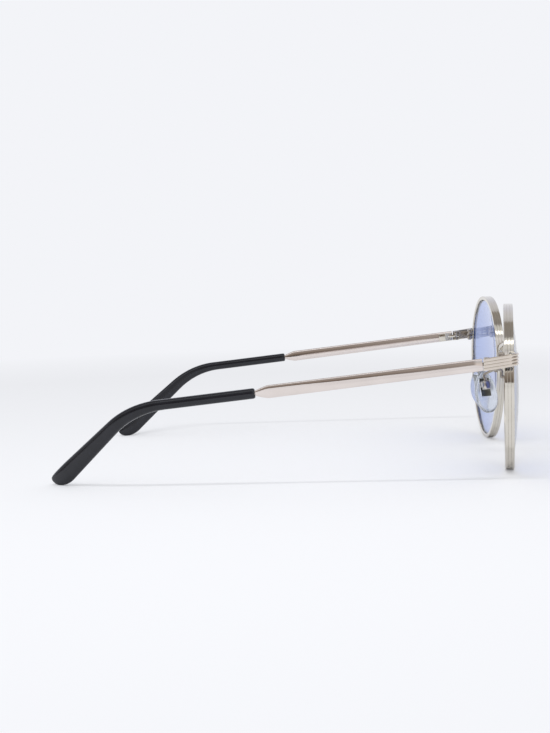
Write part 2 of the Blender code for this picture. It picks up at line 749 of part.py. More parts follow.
screw(
    "hinge_screw",
    steel,
    hinge,
    (0, 0, half_hinge + BRAZE),
    (0, 0, 0),
    HINGE_SCREW_RADIUS,
    HINGE_HEAD_RADIUS,
    HINGE_HEIGHT + BRAZE,
)

# Temples, which turn about the hinge screw
temple_turn = (-SLOPE, 0, TEMPLE_TOE_IN)
blades = pair("temple_blade", blade_mesh(), metal, hinge, (0, 0, 0), temple_turn)
tips = pair("temple_tip", loft("temple_tip", tip_rings()), acetate, hinge, (0, 0, 0), temple_turn)
tang_hole = [(BLADE_X + a, b) for a, b in circle(TANG_RADIUS + TANG_FIT, 12)]
tang = across_prism("tang", tang_hole, TIP_MOUTH - MM, BLADE_BACK + TANG_LENGTH + TANG_FIT)
tang_space = pair("tang_space", tang, None, hinge, (0, 0, 0), temple_turn)
combine(tips, tang_space, "DIFFERENCE")
outer_face = BLADE_X - BLADE_THICKNESS / 2 - BRAZE
low = (outer_face - HOUSING_THICKNESS, HOUSING_START, -half_hinge)
high = (outer_face, HOUSING_START + HOUSING_LENGTH, half_hinge)
housings = pair("hinge_rear", block("housing", low, high), metal, hinge, (0, 0, 0), temple_turn)
soften(housings, EDGE_ROUNDING)
middle = prism("middle", rear_knuckle(), -half_middle, half_middle)
combine(housings, pair("knuckle_middle", middle, None, hinge), "UNION")
combine(housings, hinge_bore, "DIFFERENCE")
slot_start = HOUSING_START + HOUSING_LENGTH / 2 - HOUSING_SLOT
slot_low = (low[0] - MM, slot_start, -HINGE_HEIGHT)
slot_high = (low[0] + SLOT_DEPTH, slot_start + HOUSING_SLOT, HINGE_HEIGHT)
slot = block("slot", slot_low, slot_high)
combine(housings, pair("housing_slot", slot, None, hinge, (0, 0, 0), temple_turn), "DIFFERENCE")

# Nose pads, which rock about the pad screw
pad = empty("pad_axis", glasses, PAD_PIVOT, (0, -PAD_FLARE, -PAD_SPLAY))
pads = pair("nose_pad", pad_mesh(), silicone, pad)
combine(pads, pair("pad_pocket", insert_blocks(INSERT_FIT), None, pad), "DIFFERENCE")
inserts = pair("pad_insert", insert_blocks(0), dark, pad)
boss = across_prism("boss", boss_outline(), -BOSS_WIDTH / 2, BOSS_WIDTH / 2)
combine(inserts, pair("insert_boss", boss, None, pad), "UNION")
bored = across_prism("pad_bore", circle(PAD_SCREW_RADIUS + SCREW_FIT, 12), -PAD_WIDTH / 2, PAD_WIDTH / 2)
pad_bore = pair("pad_bore", bored, None, pad)
combine(inserts, pad_bore, "DIFFERENCE")

# Pad boxes, arms and screws, which stay with the front
inner = BOSS_WIDTH / 2 + BOX_SIDE_GAP
outer = inner + BOX_WALL
box_back = BOX_BACK_MIDDLE + BOX_BACK_THICKNESS / 2
box_low, box_high = (-BOX_REACH, -outer, -BOX_HEIGHT / 2), (box_back, outer, BOX_HEIGHT / 2)
boxes = pair("pad_box", block("box", box_low, box_high), metal, pad)
channel_low = (-2 * BOX_REACH, -inner, -BOX_HEIGHT)
channel_high = (BOSS_RADIUS + BOX_BACK_GAP, inner, BOX_HEIGHT)
combine(boxes, pair("box_channel", block("channel", channel_low, channel_high), None, pad), "DIFFERENCE")
combine(boxes, pad_bore, "DIFFERENCE")
arms = pair("pad_arm", arm_mesh(), metal, glasses)
screw(
    "pad_screw",
    steel,
    pad,
    (0, -outer - BRAZE, 0),
    (pi / 2, 0, 0),
    PAD_SCREW_RADIUS,
    PAD_HEAD_RADIUS,
    2 * outer + BRAZE,
)

# The origin, under the middle of the glasses
bpy.context.view_layer.update()
graph = bpy.context.evaluated_depsgraph_get()
backs = []
for obj in bpy.data.objects:
    if obj.type == "MESH" and not obj.hide_render:
        shape = obj.evaluated_get(graph)
        backs += [(shape.matrix_world @ vertex.co).y for vertex in shape.data.vertices]
for side in SIDES:
    glasses[side].location.y = -(min(backs) + max(backs)) / 2
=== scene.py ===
"""The looks of round metal sunglasses, standing open on their rims and temple tips, built round the
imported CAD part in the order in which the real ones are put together. Sizes are in millimetres until a
piece is placed."""

from math import asin, atan2, cos, degrees, hypot, pi, radians, sin, sqrt, tan

import bmesh
import bpy
from mathutils import Euler, Matrix, Vector


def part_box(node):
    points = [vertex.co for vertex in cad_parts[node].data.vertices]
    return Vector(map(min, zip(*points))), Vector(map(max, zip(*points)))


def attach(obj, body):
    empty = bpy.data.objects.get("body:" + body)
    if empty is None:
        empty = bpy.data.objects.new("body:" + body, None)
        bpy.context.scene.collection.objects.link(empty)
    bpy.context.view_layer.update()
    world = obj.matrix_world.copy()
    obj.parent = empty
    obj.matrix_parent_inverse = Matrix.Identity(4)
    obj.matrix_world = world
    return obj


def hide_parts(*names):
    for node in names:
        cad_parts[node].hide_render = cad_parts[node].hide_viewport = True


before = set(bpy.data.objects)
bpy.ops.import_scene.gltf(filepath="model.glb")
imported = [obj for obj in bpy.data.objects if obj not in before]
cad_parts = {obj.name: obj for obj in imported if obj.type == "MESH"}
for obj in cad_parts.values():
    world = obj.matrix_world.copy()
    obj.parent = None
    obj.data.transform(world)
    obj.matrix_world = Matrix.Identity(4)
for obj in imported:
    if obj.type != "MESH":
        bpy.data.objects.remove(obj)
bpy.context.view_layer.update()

# Rims
# Each rim is one wire of nickel silver, drawn with three reeds outside and a groove for the lens inside.
# It is bent to the lens's round shape, polished, and plated a warm silver, with a little painted shade
# between the reeds and round the lens.

MM = 0.001
SIDES = {"left": 1, "right": -1}
EYE_HALF_WIDTH = 25.672
EYE_HALF_HEIGHT = 26.55
EYE_LIFT = 0.1
EYE_SIDE = 37.5
EYE_HEIGHT = 27.312
EYE_WRAP = radians(5.6)
HINGE_BEHIND_EYE = 9.85
hinge_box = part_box("hinge_screw_left")
HINGE_Y = (hinge_box[0].y + hinge_box[1].y) / 2 / MM
EYE_Y = HINGE_Y - HINGE_BEHIND_EYE
RIM_DEPTH = 2.95
RIM_OUTSIDE = 0.79
RIM_LIP = 0.6
RIM_STEPS = 240
REEDS = 3
REED_HEIGHT = 0.08
REED_FLATNESS = 10
REED_TURNS = (-1, -0.86, -0.55, 0, 0.55, 0.86)
# How sharply the painted shade gathers between the reeds.
PAINTED_SHADE_SHARPNESS = 8
LIP_ROUNDING = ((-0.38, 0), (-0.5, 0.04), (-0.57, 0.12), (-RIM_LIP, 0.24))
# The lens channel's points: offset, depth and share of painted shade.
LENS_GROOVE = ((-RIM_LIP, 0.8, 0.6), (0.1, 0.2, 1))
SPLIT_RISE = 11.3
SPLIT_GAP = 0.3
SPLIT_ANGLE = asin(SPLIT_RISE / EYE_HALF_HEIGHT)
SPLIT_HALF_ANGLE = SPLIT_GAP / 2 / EYE_HALF_HEIGHT
CLOUDS = {"scale": 160, "detail": 3}
GLOSS = {"scale": 700, "detail": 4}
FINE_LINES = {"scale": 2600, "detail": 3}
LINE_STRENGTH = 0.04
LINE_DEPTH = 0.00002
eye_place = Matrix.Translation((EYE_SIDE, EYE_Y, EYE_HEIGHT)) @ Matrix.Rotation(EYE_WRAP, 4, "Z")


def eye_point(angle, offset, depth):
    """A point beside the lens's outline: offset outwards from it, and depth in front of its plane."""
    x = EYE_HALF_WIDTH * cos(angle) * (1 + EYE_LIFT * sin(angle))
    z = EYE_HALF_HEIGHT * sin(angle)
    along_x = EYE_HALF_WIDTH * (EYE_LIFT * cos(2 * angle) - sin(angle))
    along_z = EYE_HALF_HEIGHT * cos(angle)
    length = hypot(along_x, along_z)
    return Vector((x + offset * along_z / length, -depth, z - offset * along_x / length))


def skin(rings, painted_shades=()):
    """A skin over rings of points, closed at its ends. The second list says for each ring how much painted
    shade its points carry, from 0 to 1."""
    made = bmesh.new()
    painted_shade = made.verts.layers.float.new("painted_shade")
    loops = []
    for ring, depths in zip(rings, painted_shades or [()] * len(rings)):
        loops.append([made.verts.new(point) for point in ring])
        for vertex, depth in zip(loops[-1], depths):
            vertex[painted_shade] = depth
    made.faces.new(loops[0])
    made.faces.new(loops[-1])
    for near, far in zip(loops, loops[1:]):
        for i, corner in enumerate(near):
            made.faces.new((near[i - 1], corner, far[i], far[i - 1]))
    bmesh.ops.recalc_face_normals(made, faces=made.faces)
    return made


def fit(name, made, place, finish, node, body="front", sharp=32):
    """Puts the left piece and its mirror image in place of their CAD nodes."""
    for side, sign in SIDES.items():
        shape = bpy.data.meshes.new(f"{name}_{side}")
        made.to_mesh(shape)
        shape.transform(Matrix.Diagonal((sign * MM, MM, MM, 1)) @ place)
        if sign < 0:
            shape.flip_normals()
        carrier = body if body == "front" else f"{body}_{side}"
        finish_piece(shape, finish, f"{node}_{side}", carrier, sharp)
    made.free()


def finish_piece(shape, finish, node, body, sharp):
    """Smooths and finishes a piece, and lets it ride on its body."""
    shape.shade_smooth()
    shape.set_sharp_from_angle(angle=radians(sharp))
    shape.materials.append(finish)
    piece = bpy.data.objects.new(shape.name, shape)
    bpy.context.scene.collection.objects.link(piece)
    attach(piece, body)
    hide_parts(node)


def reeded(width, reeds, height, flatness, turns):
    """(place across, rise, painted shade) points over a reeded face, with the painted shade darkest between
    the reeds. turns are places across a reed, from -1 to 1."""
    points = []
    pitch = width / reeds
    for reed in range(reeds):
        for u in turns:
            place = -width / 2 + (reed + (u + 1) / 2) * pitch
            points.append((place, height * (1 - abs(u) ** flatness), abs(u) ** PAINTED_SHADE_SHARPNESS))
    return points + [(width / 2, 0.0, 1.0)]


def rim_section():
    """(offset, depth, painted shade) points round the rim wire."""
    face = RIM_DEPTH / 2
    reeds = reeded(RIM_DEPTH, REEDS, REED_HEIGHT, REED_FLATNESS, REED_TURNS)
    section = [(RIM_OUTSIDE - REED_HEIGHT + rise, place, painted_shade) for place, rise, painted_shade in reeds]
    inside = [(offset, face - rounding, 0) for offset, rounding in LIP_ROUNDING] + list(LENS_GROOVE)
    return section + inside + [(offset, -depth, painted_shade) for offset, depth, painted_shade in reversed(inside)]


def nodes_of(name):
    """A new material, its nodes, its links and its shader."""
    finish = bpy.data.materials.new(name)
    finish.use_nodes = True
    nodes, links = finish.node_tree.nodes, finish.node_tree.links
    return finish, nodes, links, nodes["Principled BSDF"]


def noise(nodes, links, scale, detail, stretch=(1, 1, 1)):
    """The value of a noise that rides with the piece. scale is in lumps per metre."""
    place = nodes.new("ShaderNodeTexCoord")
    squeeze = nodes.new("ShaderNodeMapping")
    squeeze.inputs["Scale"].default_value = stretch
    lumps = nodes.new("ShaderNodeTexNoise")
    lumps.inputs["Scale"].default_value = scale
    lumps.inputs["Detail"].default_value = detail
    links.new(place.outputs["Object"], squeeze.inputs["Vector"])
    links.new(squeeze.outputs["Vector"], lumps.inputs["Vector"])
    return lumps.outputs["Fac"]


def spread(nodes, links, value, low, high, start=0.3, end=0.7):
    """A value stretched from start and end to low and high, or a mix of two colours where these are
    colours."""
    if isinstance(low, tuple):
        stops = nodes.new("ShaderNodeValToRGB")
        stops.color_ramp.elements[0].position, stops.color_ramp.elements[1].position = start, end
        stops.color_ramp.elements[0].color, stops.color_ramp.elements[1].color = (*low, 1), (*high, 1)
        links.new(value, stops.inputs["Fac"])
        return stops.outputs["Color"]
    ranged = nodes.new("ShaderNodeMapRange")
    for socket, number in zip(("From Min", "From Max", "To Min", "To Max"), (start, end, low, high)):
        ranged.inputs[socket].default_value = number
    links.new(value, ranged.inputs["Value"])
    return ranged.outputs["Result"]


def bumped(nodes, links, shader, value, strength, distance):
    """Lets a value raise the surface a little. distance is in metres."""
    bump = nodes.new("ShaderNodeBump")
    bump.inputs["Strength"].default_value = strength
    bump.inputs["Distance"].default_value = distance
    links.new(value, bump.inputs["Height"])
    links.new(bump.outputs["Normal"], shader.inputs["Normal"])


def plating(name, dark, light, smooth, rough, lines=(1, 1, 1), painted_shade_share=0.15, shade=(0.3, 0.27, 0.25)):
    """Plating over nickel silver: cloudy in colour and gloss, with polishing lines, and with painted shade
    mixed in where the mesh marks it."""
    finish, nodes, links, shader = nodes_of(name)
    shader.inputs["Metallic"].default_value = 1.0
    cloud = spread(nodes, links, noise(nodes, links, **CLOUDS), dark, light)
    # Painted shade: the colour shade is mixed in where the mesh marks it.
    painted_shade = nodes.new("ShaderNodeAttribute")
    painted_shade.attribute_name = "painted_shade"
    mix = nodes.new("ShaderNodeMix")
    mix.data_type = "RGBA"
    mix.inputs["B"].default_value = (*shade, 1)
    links.new(spread(nodes, links, painted_shade.outputs["Fac"], 0.0, painted_shade_share, 0.3, 1.0), mix.inputs["Factor"])
    links.new(cloud, mix.inputs["A"])
    links.new(mix.outputs["Result"], shader.inputs["Base Color"])
    gloss = spread(nodes, links, noise(nodes, links, **GLOSS, stretch=lines), smooth, rough)
    links.new(gloss, shader.inputs["Roughness"])
    fine = noise(nodes, links, **FINE_LINES, stretch=lines)
    bumped(nodes, links, shader, fine, LINE_STRENGTH, LINE_DEPTH)
    return finish


silver = plating(
    "grey_silver_plate", dark=(0.665, 0.63, 0.56), light=(0.715, 0.68, 0.615), smooth=0.05, rough=0.11
)
section = rim_section()
rings = []
for step in range(RIM_STEPS + 1):
    turn = SPLIT_ANGLE + SPLIT_HALF_ANGLE + (2 * pi - 2 * SPLIT_HALF_ANGLE) * step / RIM_STEPS
    rings.append([eye_point(turn, offset, depth) for offset, depth, _ in section])
# Painted shade darkens the wire between its reeds and round the lens.
wire = skin(rings, painted_shades=[[painted_shade for _, _, painted_shade in section]] * len(rings))
fit("rim_wire", wire, eye_place, silver, "rim")

# Rim locks
# Behind each hinge a block is brazed to either end of the rim wire, and one screw draws the two blocks
# together round the lens. The blocks are nickel silver with tumbled edges, in a darker plating that is
# painted shade, and the screw is bright steel.

LOCK_DEPTH = 2.0
LOCK_WIDTH = 2.6
LOCK_HEIGHT = 1.8
LOCK_ROUNDING = 0.45
HEAD_PROFILE = ((0, 0.94), (0.06, 1), (0.28, 1), (0.38, 0.95), (0.46, 0.8), (0.5, 0.5), (0.51, 0.1))
HEAD_HEIGHT = HEAD_PROFILE[-1][0]
HEAD_STANDOFF = 0.05
SHANK_POINT = 0.8
SHANK_POINT_LENGTH = 0.1
SLOT_WIDTH = 0.3
SLOT_DEPTH = 0.28
SCREW_SIDES = 40
LATHE_RINGS = {"scale": 5200, "detail": 2, "stretch": (1, 1, 4)}
lock_out = (eye_point(SPLIT_ANGLE, 1, 0) - eye_point(SPLIT_ANGLE, 0, 0)).normalized()
lock_middle = eye_point(SPLIT_ANGLE, (RIM_OUTSIDE - RIM_LIP) / 2, -(RIM_DEPTH + LOCK_DEPTH) / 2)
lock_turn = Matrix.Rotation(-atan2(lock_out.z, lock_out.x), 4, "Y")
lock_place = eye_place @ Matrix.Translation(lock_middle) @ lock_turn


def rounded(made, width, steps=3, least=35):
    """Rounds the edges of a shape that turn by more than the least angle."""
    edges = [edge for edge in made.edges if edge.calc_face_angle(0) > radians(least)]
    bmesh.ops.bevel(made, geom=edges, offset=width, segments=steps, profile=0.5, affect="EDGES")
    return made


def block(low, high):
    """A plain block between two corners."""
    plan = [(low[0], low[1]), (high[0], low[1]), (high[0], high[1]), (low[0], high[1])]
    return skin([[Vector((x, y, z)) for x, y in plan] for z in (low[2], high[2])])


def circle(radius, sides):
    """Points round a circle."""
    turns = [2 * pi * i / sides for i in range(sides)]
    return [(radius * cos(turn), radius * sin(turn)) for turn in turns]


def cut(made, tool, operation="DIFFERENCE"):
    """One shape with another cut away from it, or joined to it."""
    pair = []
    for shape in (made, tool):
        mesh = bpy.data.meshes.new("blank")
        shape.to_mesh(mesh)
        shape.free()
        pair.append(bpy.data.objects.new("blank", mesh))
        bpy.context.scene.collection.objects.link(pair[-1])
    saw = pair[0].modifiers.new("saw", "BOOLEAN")
    saw.operation, saw.solver, saw.object = operation, "EXACT", pair[1]
    graph = bpy.context.evaluated_depsgraph_get()
    result = bmesh.new()
    result.from_mesh(pair[0].evaluated_get(graph).data)
    for blank in pair:
        bpy.data.objects.remove(blank)
    return result


def slotted_screw(shank, head, length):
    """A screw with a domed, slotted head that stands on z = 0. shank and head are radii."""
    profile = [(-length, shank * SHANK_POINT), (-length + SHANK_POINT_LENGTH, shank), (0, shank)]
    profile += [(rise, head * share) for rise, share in HEAD_PROFILE]
    turned = skin([[Vector((x, y, z)) for x, y in circle(radius, SCREW_SIDES)] for z, radius in profile])
    slot = block((-SLOT_WIDTH / 2, -2 * head, HEAD_HEIGHT - SLOT_DEPTH), (SLOT_WIDTH / 2, 2 * head, 1))
    return cut(turned, slot)


def turned_steel(name, dark, light, smooth, rough):
    """Screw steel with the fine rings that the lathe leaves."""
    finish, nodes, links, shader = nodes_of(name)
    shader.inputs["Metallic"].default_value = 1.0
    cloud = spread(nodes, links, noise(nodes, links, scale=900, detail=4), dark, light)
    links.new(cloud, shader.inputs["Base Color"])
    gloss = spread(nodes, links, noise(nodes, links, scale=2400, detail=3), smooth, rough)
    links.new(gloss, shader.inputs["Roughness"])
    bumped(nodes, links, shader, noise(nodes, links, **LATHE_RINGS), strength=0.12, distance=0.00002)
    return finish


# Painted shade: this darker plating stands in for the dark surroundings that small parts mirror.
painted_dark_silver = plating(
    "nickel_silver_painted_dark", dark=(0.36, 0.32, 0.27), light=(0.5, 0.455, 0.4), smooth=0.12, rough=0.25
)
screw_steel = turned_steel(
    "screw_steel", dark=(0.4752, 0.468, 0.468), light=(0.66, 0.65, 0.65), smooth=0.154, rough=0.33
)
for name, low, high in (("upper", SPLIT_GAP / 2, LOCK_HEIGHT), ("lower", -LOCK_HEIGHT, -SPLIT_GAP / 2)):
    half = LOCK_WIDTH / 2
    lock = rounded(block((-half, -LOCK_DEPTH / 2, low), (half, LOCK_DEPTH / 2, high)), LOCK_ROUNDING, 4)
    fit(f"lock_block_{name}", lock, lock_place, painted_dark_silver, f"rim_lock_{name}", sharp=50)
lock_screw = slotted_screw(shank=0.45, head=0.8, length=4.3)
under = lock_place @ Matrix.Translation((0, 0, -LOCK_HEIGHT - HEAD_STANDOFF)) @ Matrix.Rotation(pi, 4, "X")
fit("lock_screw", lock_screw, under, screw_steel, "rim_screw")

# Lenses
# Each lens is 2 mm of polished nylon, tinted light blue all through, curved like a watch glass, with a bevel
# round its edge that snaps into the rim's groove before the lock is drawn up.

LENS_THICKNESS = 2.0
LENS_CURVE = 150.0
LENS_BODY = -0.7
LENS_BEVEL = ((LENS_BODY, 0.6), (-0.02, 0.1), (-0.02, -0.1), (LENS_BODY, -0.6))
LENS_SHARES = (0.01, 0.1, 0.2, 0.3, 0.4, 0.5, 0.6, 0.7, 0.8, 0.88, 0.94, 0.98, 1.0)
LENS_SIDES = 160
lens_turns = [2 * pi * i / LENS_SIDES for i in range(LENS_SIDES)]
lens_edge_drop = sqrt(LENS_CURVE**2 - (EYE_HALF_HEIGHT + LENS_BODY) ** 2)


def lens_face(share, behind):
    """A ring on a curved face of the lens, at a share of the way to its edge."""
    ring = []
    for turn in lens_turns:
        point = eye_point(turn, LENS_BODY, 0) * share
        drop = sqrt(LENS_CURVE**2 - point.x**2 - point.z**2)
        point.y = behind - LENS_THICKNESS / 2 + lens_edge_drop - drop
        ring.append(point)
    return ring


def tinted(name, tint, shade, index, rough, shadow):
    """A clear, tinted material. Lamps shine through it in the tint called shadow."""
    finish, nodes, links, shader = nodes_of(name)
    shader.inputs["Transmission Weight"].default_value = 1.0
    shader.inputs["IOR"].default_value = index
    cloud = spread(nodes, links, noise(nodes, links, scale=45, detail=2), tint, shade)
    links.new(cloud, shader.inputs["Base Color"])
    gloss = spread(nodes, links, noise(nodes, links, scale=1400, detail=3), rough * 0.3, rough)
    links.new(gloss, shader.inputs["Roughness"])
    through = nodes.new("ShaderNodeBsdfTransparent")
    through.inputs["Color"].default_value = (*shadow, 1)
    path = nodes.new("ShaderNodeLightPath")
    mix = nodes.new("ShaderNodeMixShader")
    links.new(path.outputs["Is Shadow Ray"], mix.inputs["Fac"])
    links.new(shader.outputs["BSDF"], mix.inputs[1])
    links.new(through.outputs["BSDF"], mix.inputs[2])
    links.new(mix.outputs["Shader"], nodes["Material Output"].inputs["Surface"])
    return finish, nodes, links, shader


blue_lens, _, _, _ = tinted(
    "blue_nylon", tint=(0.405, 0.495, 0.815), shade=(0.435, 0.52, 0.825), index=1.5, rough=0.01,
    shadow=(0.75, 0.79, 0.92),
)
rings = [lens_face(share, 0) for share in LENS_SHARES]
for offset, depth in LENS_BEVEL:
    rings.append([eye_point(turn, offset, depth) for turn in lens_turns])
rings += [lens_face(share, LENS_THICKNESS) for share in reversed(LENS_SHARES)]
fit("lens_blue", skin(rings), eye_place, blue_lens, "lens")

# Bridge
# An arched bar of nickel silver joins the two rims. Its ends are filed to the rims' curve and brazed on,
# which leaves a small fillet, and it is polished and plated with them.

BRIDGE_RISE = 9.0
BRIDGE_ARCH = 3.6
BRIDGE_FULLNESS = 0.9
BRIDGE_FORWARD = 1.2
BRIDGE_DEPTH = 2.2
BRIDGE_HEIGHT = 2.5
BRIDGE_REACH = 12.3
BRIDGE_STEPS = 56
BRIDGE_SIDES = 32
BRIDGE_SQUARENESS = 2.5
BRAZE_LENGTH = 1.2
BRAZE_FILLET = 0.5
RIM_SLANT = 0.37


def oval(width, height, count, power=2.0):
    """Points round an oval section. A power above 2 squares it off."""
    points = []
    for i in range(count):
        turn = 2 * pi * i / count
        reach = (abs(cos(turn)) ** power + abs(sin(turn)) ** power) ** (-1 / power)
        points.append((width / 2 * reach * cos(turn), height / 2 * reach * sin(turn)))
    return points


rings = []
for step in range(BRIDGE_STEPS + 1):
    share = 2 * step / BRIDGE_STEPS - 1
    rise = sqrt(1 - BRIDGE_FULLNESS * share**2)
    near_rim = max(0.0, 1 - BRIDGE_REACH * (1 - abs(share)) / BRAZE_LENGTH)
    y = EYE_Y - sin(EYE_WRAP) * EYE_HALF_WIDTH - BRIDGE_FORWARD * (1 - share**2)
    z = EYE_HEIGHT + BRIDGE_RISE + BRIDGE_ARCH * (rise - sqrt(1 - BRIDGE_FULLNESS))
    lean = atan2(-BRIDGE_ARCH * BRIDGE_FULLNESS * share, rise * BRIDGE_REACH) * (1 - near_rim)
    grown = BRAZE_FILLET * near_rim**2
    ring = []
    for a, b in oval(BRIDGE_DEPTH + grown, BRIDGE_HEIGHT + grown, BRIDGE_SIDES, BRIDGE_SQUARENESS):
        slant = (RIM_SLANT * near_rim * (1 if share > 0 else -1) - sin(lean)) * b
        ring.append(Vector((BRIDGE_REACH * share + slant, y + a, z + cos(lean) * b)))
    rings.append(ring)
bridge = skin(rings)
shape = bpy.data.meshes.new("bridge_bar")
bridge.to_mesh(shape)
bridge.free()
shape.transform(Matrix.Diagonal((MM, MM, MM, 1)))
finish_piece(shape, silver, "bridge", "front", 40)

# Endpieces
# A bar of nickel silver, pressed with four ribs, is brazed to the outer side of each rim. It turns the front
# corner, where its ribs stand out as beads, and runs back to the hinge.

FRONT_HALF_WIDTH = 71.5
BAR_THICKNESS = 1.6
BAR_HEIGHT = 3.8
BAR_RAISED = 0.15
BAR_CORNER = 2.6
BAR_FRONT = 0.15
BAR_ROOT_RISE = 10.3
BAR_ROOT_OFFSET = 0.2
BAR_ROOT_SLANT = 0.43
BAR_LEAN = radians(8)
BAR_CLIMB = radians(2.2)
CORNER_STEPS = 28
BAR_RIBS = 4
RIB_FULLNESS = 2.6
RIB_HEIGHT = 0.02
BEAD_HEIGHT = 0.42
BEAD_FROM = 14
BEAD_OVER = 10
# Inward, down, and the share of painted dark reflection on the bar's inner side.
BACK_ROUNDING = ((0.35, 0, 0.3), (0.12, 0.08, 0.7))
BACK_EDGE = 0.3
END_ROUNDING = 0.12
INNER_TILT = 0.06
TEMPLE_SPLIT_Y = 11.2
TEMPLE_SPLIT_GAP = 0.25
TEMPLE_SLOPE = radians(6.00073)
HINGE_HEIGHT = 37.612
rib_points = reeded(BAR_HEIGHT, BAR_RIBS, 1.0, RIB_FULLNESS, [step / 5 - 1 for step in range(10)])
half = BAR_THICKNESS / 2
bar_x = FRONT_HALF_WIDTH - half
corner_x, corner_y = bar_x - BAR_CORNER, BAR_FRONT + half + BAR_CORNER
plan = []
for step in range(CORNER_STEPS + 1):
    turn = (-pi / 2 - BAR_LEAN) * (1 - step / CORNER_STEPS)
    outward = Vector((cos(turn), sin(turn), 0))
    bead = min(1.0, max(0.0, (-degrees(turn) - BEAD_FROM) / BEAD_OVER))
    plan.append((Vector((corner_x, corner_y, 0)) + outward * BAR_CORNER, outward, bead))
first, outward, _ = plan[0]
along = Vector((-outward.y, outward.x, 0))
root_point = eye_point(asin(BAR_ROOT_RISE / EYE_HALF_HEIGHT), BAR_ROOT_OFFSET, 0)
rim_x = EYE_SIDE + cos(EYE_WRAP) * root_point.x
start = first - along * ((first.x - rim_x) / along.x)
plan = [(start.lerp(first, share), outward, 1.0) for share in (0.0, 0.25, 0.5, 0.75)] + plan
end = Vector((bar_x, TEMPLE_SPLIT_Y - TEMPLE_SPLIT_GAP / 2, 0))
tail = plan[-1][0]
plan += [(tail.lerp(end, share), Vector((1, 0, 0)), 0.0) for share in (0.25, 0.5, 0.75, 0.98, 1.0)]
rings, painted_shades = [], []
for i, (place, outward, bead) in enumerate(plan):
    centre_z = HINGE_HEIGHT + BAR_RAISED + (HINGE_BEHIND_EYE - place.y) * tan(TEMPLE_SLOPE + BAR_CLIMB)
    ribs = RIB_HEIGHT + (BEAD_HEIGHT - RIB_HEIGHT) * bead
    edge = END_ROUNDING if i == len(plan) - 1 else 0.0
    narrowed = 1 - edge / 3
    section = []
    for across, rise, painted_shade in rib_points:
        section.append((half - ribs * (1 - rise) - edge, across * narrowed, painted_shade * bead))
    back = [(inward - half, BAR_HEIGHT / 2 - down, inside) for inward, down, inside in BACK_ROUNDING]
    back.append((edge - half, BAR_HEIGHT / 2 - BACK_EDGE, 1))
    back += [(a, -b, inside) for a, b, inside in reversed(back)]
    section += [(a + INNER_TILT * b, b * narrowed, inside) for a, b, inside in back]
    slant = -BAR_ROOT_SLANT * max(0.0, 1 - i / 4)
    ring = []
    for a, b, _ in section:
        middle = Vector((place.x + slant * b, EYE_Y + place.y, centre_z))
        ring.append(middle + outward * a + Vector((0, 0, b)))
    rings.append(ring)
    painted_shades.append([painted_shade for _, _, painted_shade in section])
bar = skin(rings, painted_shades=painted_shades)
# Painted dark reflection on the inner side and painted shade between the beads.
cream = plating(
    "cream_plate", dark=(0.69, 0.62, 0.545), light=(0.745, 0.675, 0.6), smooth=0.08, rough=0.16,
    painted_shade_share=1.0, shade=(0.17, 0.18, 0.2),
)
fit("endpiece_bar", bar, Matrix.Identity(4), cream, "endpiece")

# Hinges
# Each hinge has two barrels on a leaf brazed inside the endpiece, and one barrel between them on a housing
# brazed inside the temple. A slotted screw from above is the pin that the temple turns on.

HINGE_SIDE = 68.2
BARREL = 1.1
LEAF_THICKNESS = 0.5
LEAF_LENGTH = 5.6
HALF_HINGE = 1.6
HALF_MIDDLE = 0.5
BARREL_GAP = 0.1
HOUSING_START = 1.8
HOUSING_LENGTH = 5.3
HOUSING_THICKNESS = 2.3
HOUSING_ROUNDING = 0.3
NOTCH_FROM = 3.35
NOTCH_TO = 4.45
NOTCH_DEPTH = 1.0
NECK_OVERLAP = 1.3
HINGE_ROUNDING = 0.1
NECK_ROUNDING = 0.08
PIN_STANDOFF = 0.04
BLADE_X = 2.55
BLADE_THICKNESS = 1.5
BLADE_GAP = 0.1
TOE_IN = radians(0.5)
hinge_place = Matrix.Translation((HINGE_SIDE, HINGE_Y, HINGE_HEIGHT))
leaf_turn = Euler((-TEMPLE_SLOPE, 0, 0)).to_matrix().to_4x4()
temple_turn = Euler((-TEMPLE_SLOPE, 0, TOE_IN)).to_matrix().to_4x4()
temple_place = hinge_place @ temple_turn


def arc(radius, start, end, steps):
    """Points along an arc, from one angle to another."""
    turns = [start + (end - start) * i / steps for i in range(steps + 1)]
    return [(radius * cos(turn), radius * sin(turn)) for turn in turns]


def slab(outline, low, high, axis="Z"):
    """An outline extruded from low to high along X, Y or Z."""
    order = {"X": (2, 0, 1), "Y": (0, 2, 1), "Z": (0, 1, 2)}[axis]
    rings = []
    for level in (low, high):
        corners = [(a, b, level) for a, b in outline]
        rings.append([Vector([corner[i] for i in order]) for corner in corners])
    return skin(rings)


nose = [(y - LEAF_LENGTH + HALF_HINGE, z) for y, z in arc(HALF_HINGE, pi / 2, 1.5 * pi, 24)]
leaf_outline = nose + [(0, -HALF_HINGE), (0, HALF_HINGE)]
leaf = slab(leaf_outline, BARREL, BARREL + LEAF_THICKNESS, "X")
leaf = rounded(leaf, HINGE_ROUNDING, 2, 50)
leaf.transform(leaf_turn)
half_leaf = BARREL + LEAF_THICKNESS / 2
for low, high in ((HALF_MIDDLE + BARREL_GAP, HALF_HINGE), (-HALF_HINGE, -HALF_MIDDLE - BARREL_GAP)):
    round_part = arc(BARREL, 0, 1.5 * pi, 30)
    knuckle = slab([(half_leaf, -BARREL), (half_leaf, 0)] + round_part, low, high)
    leaf = cut(leaf, rounded(knuckle, HINGE_ROUNDING, 2, 50), "UNION")
fit("hinge_leaf", leaf, hinge_place, painted_dark_silver, "hinge_front", sharp=40)

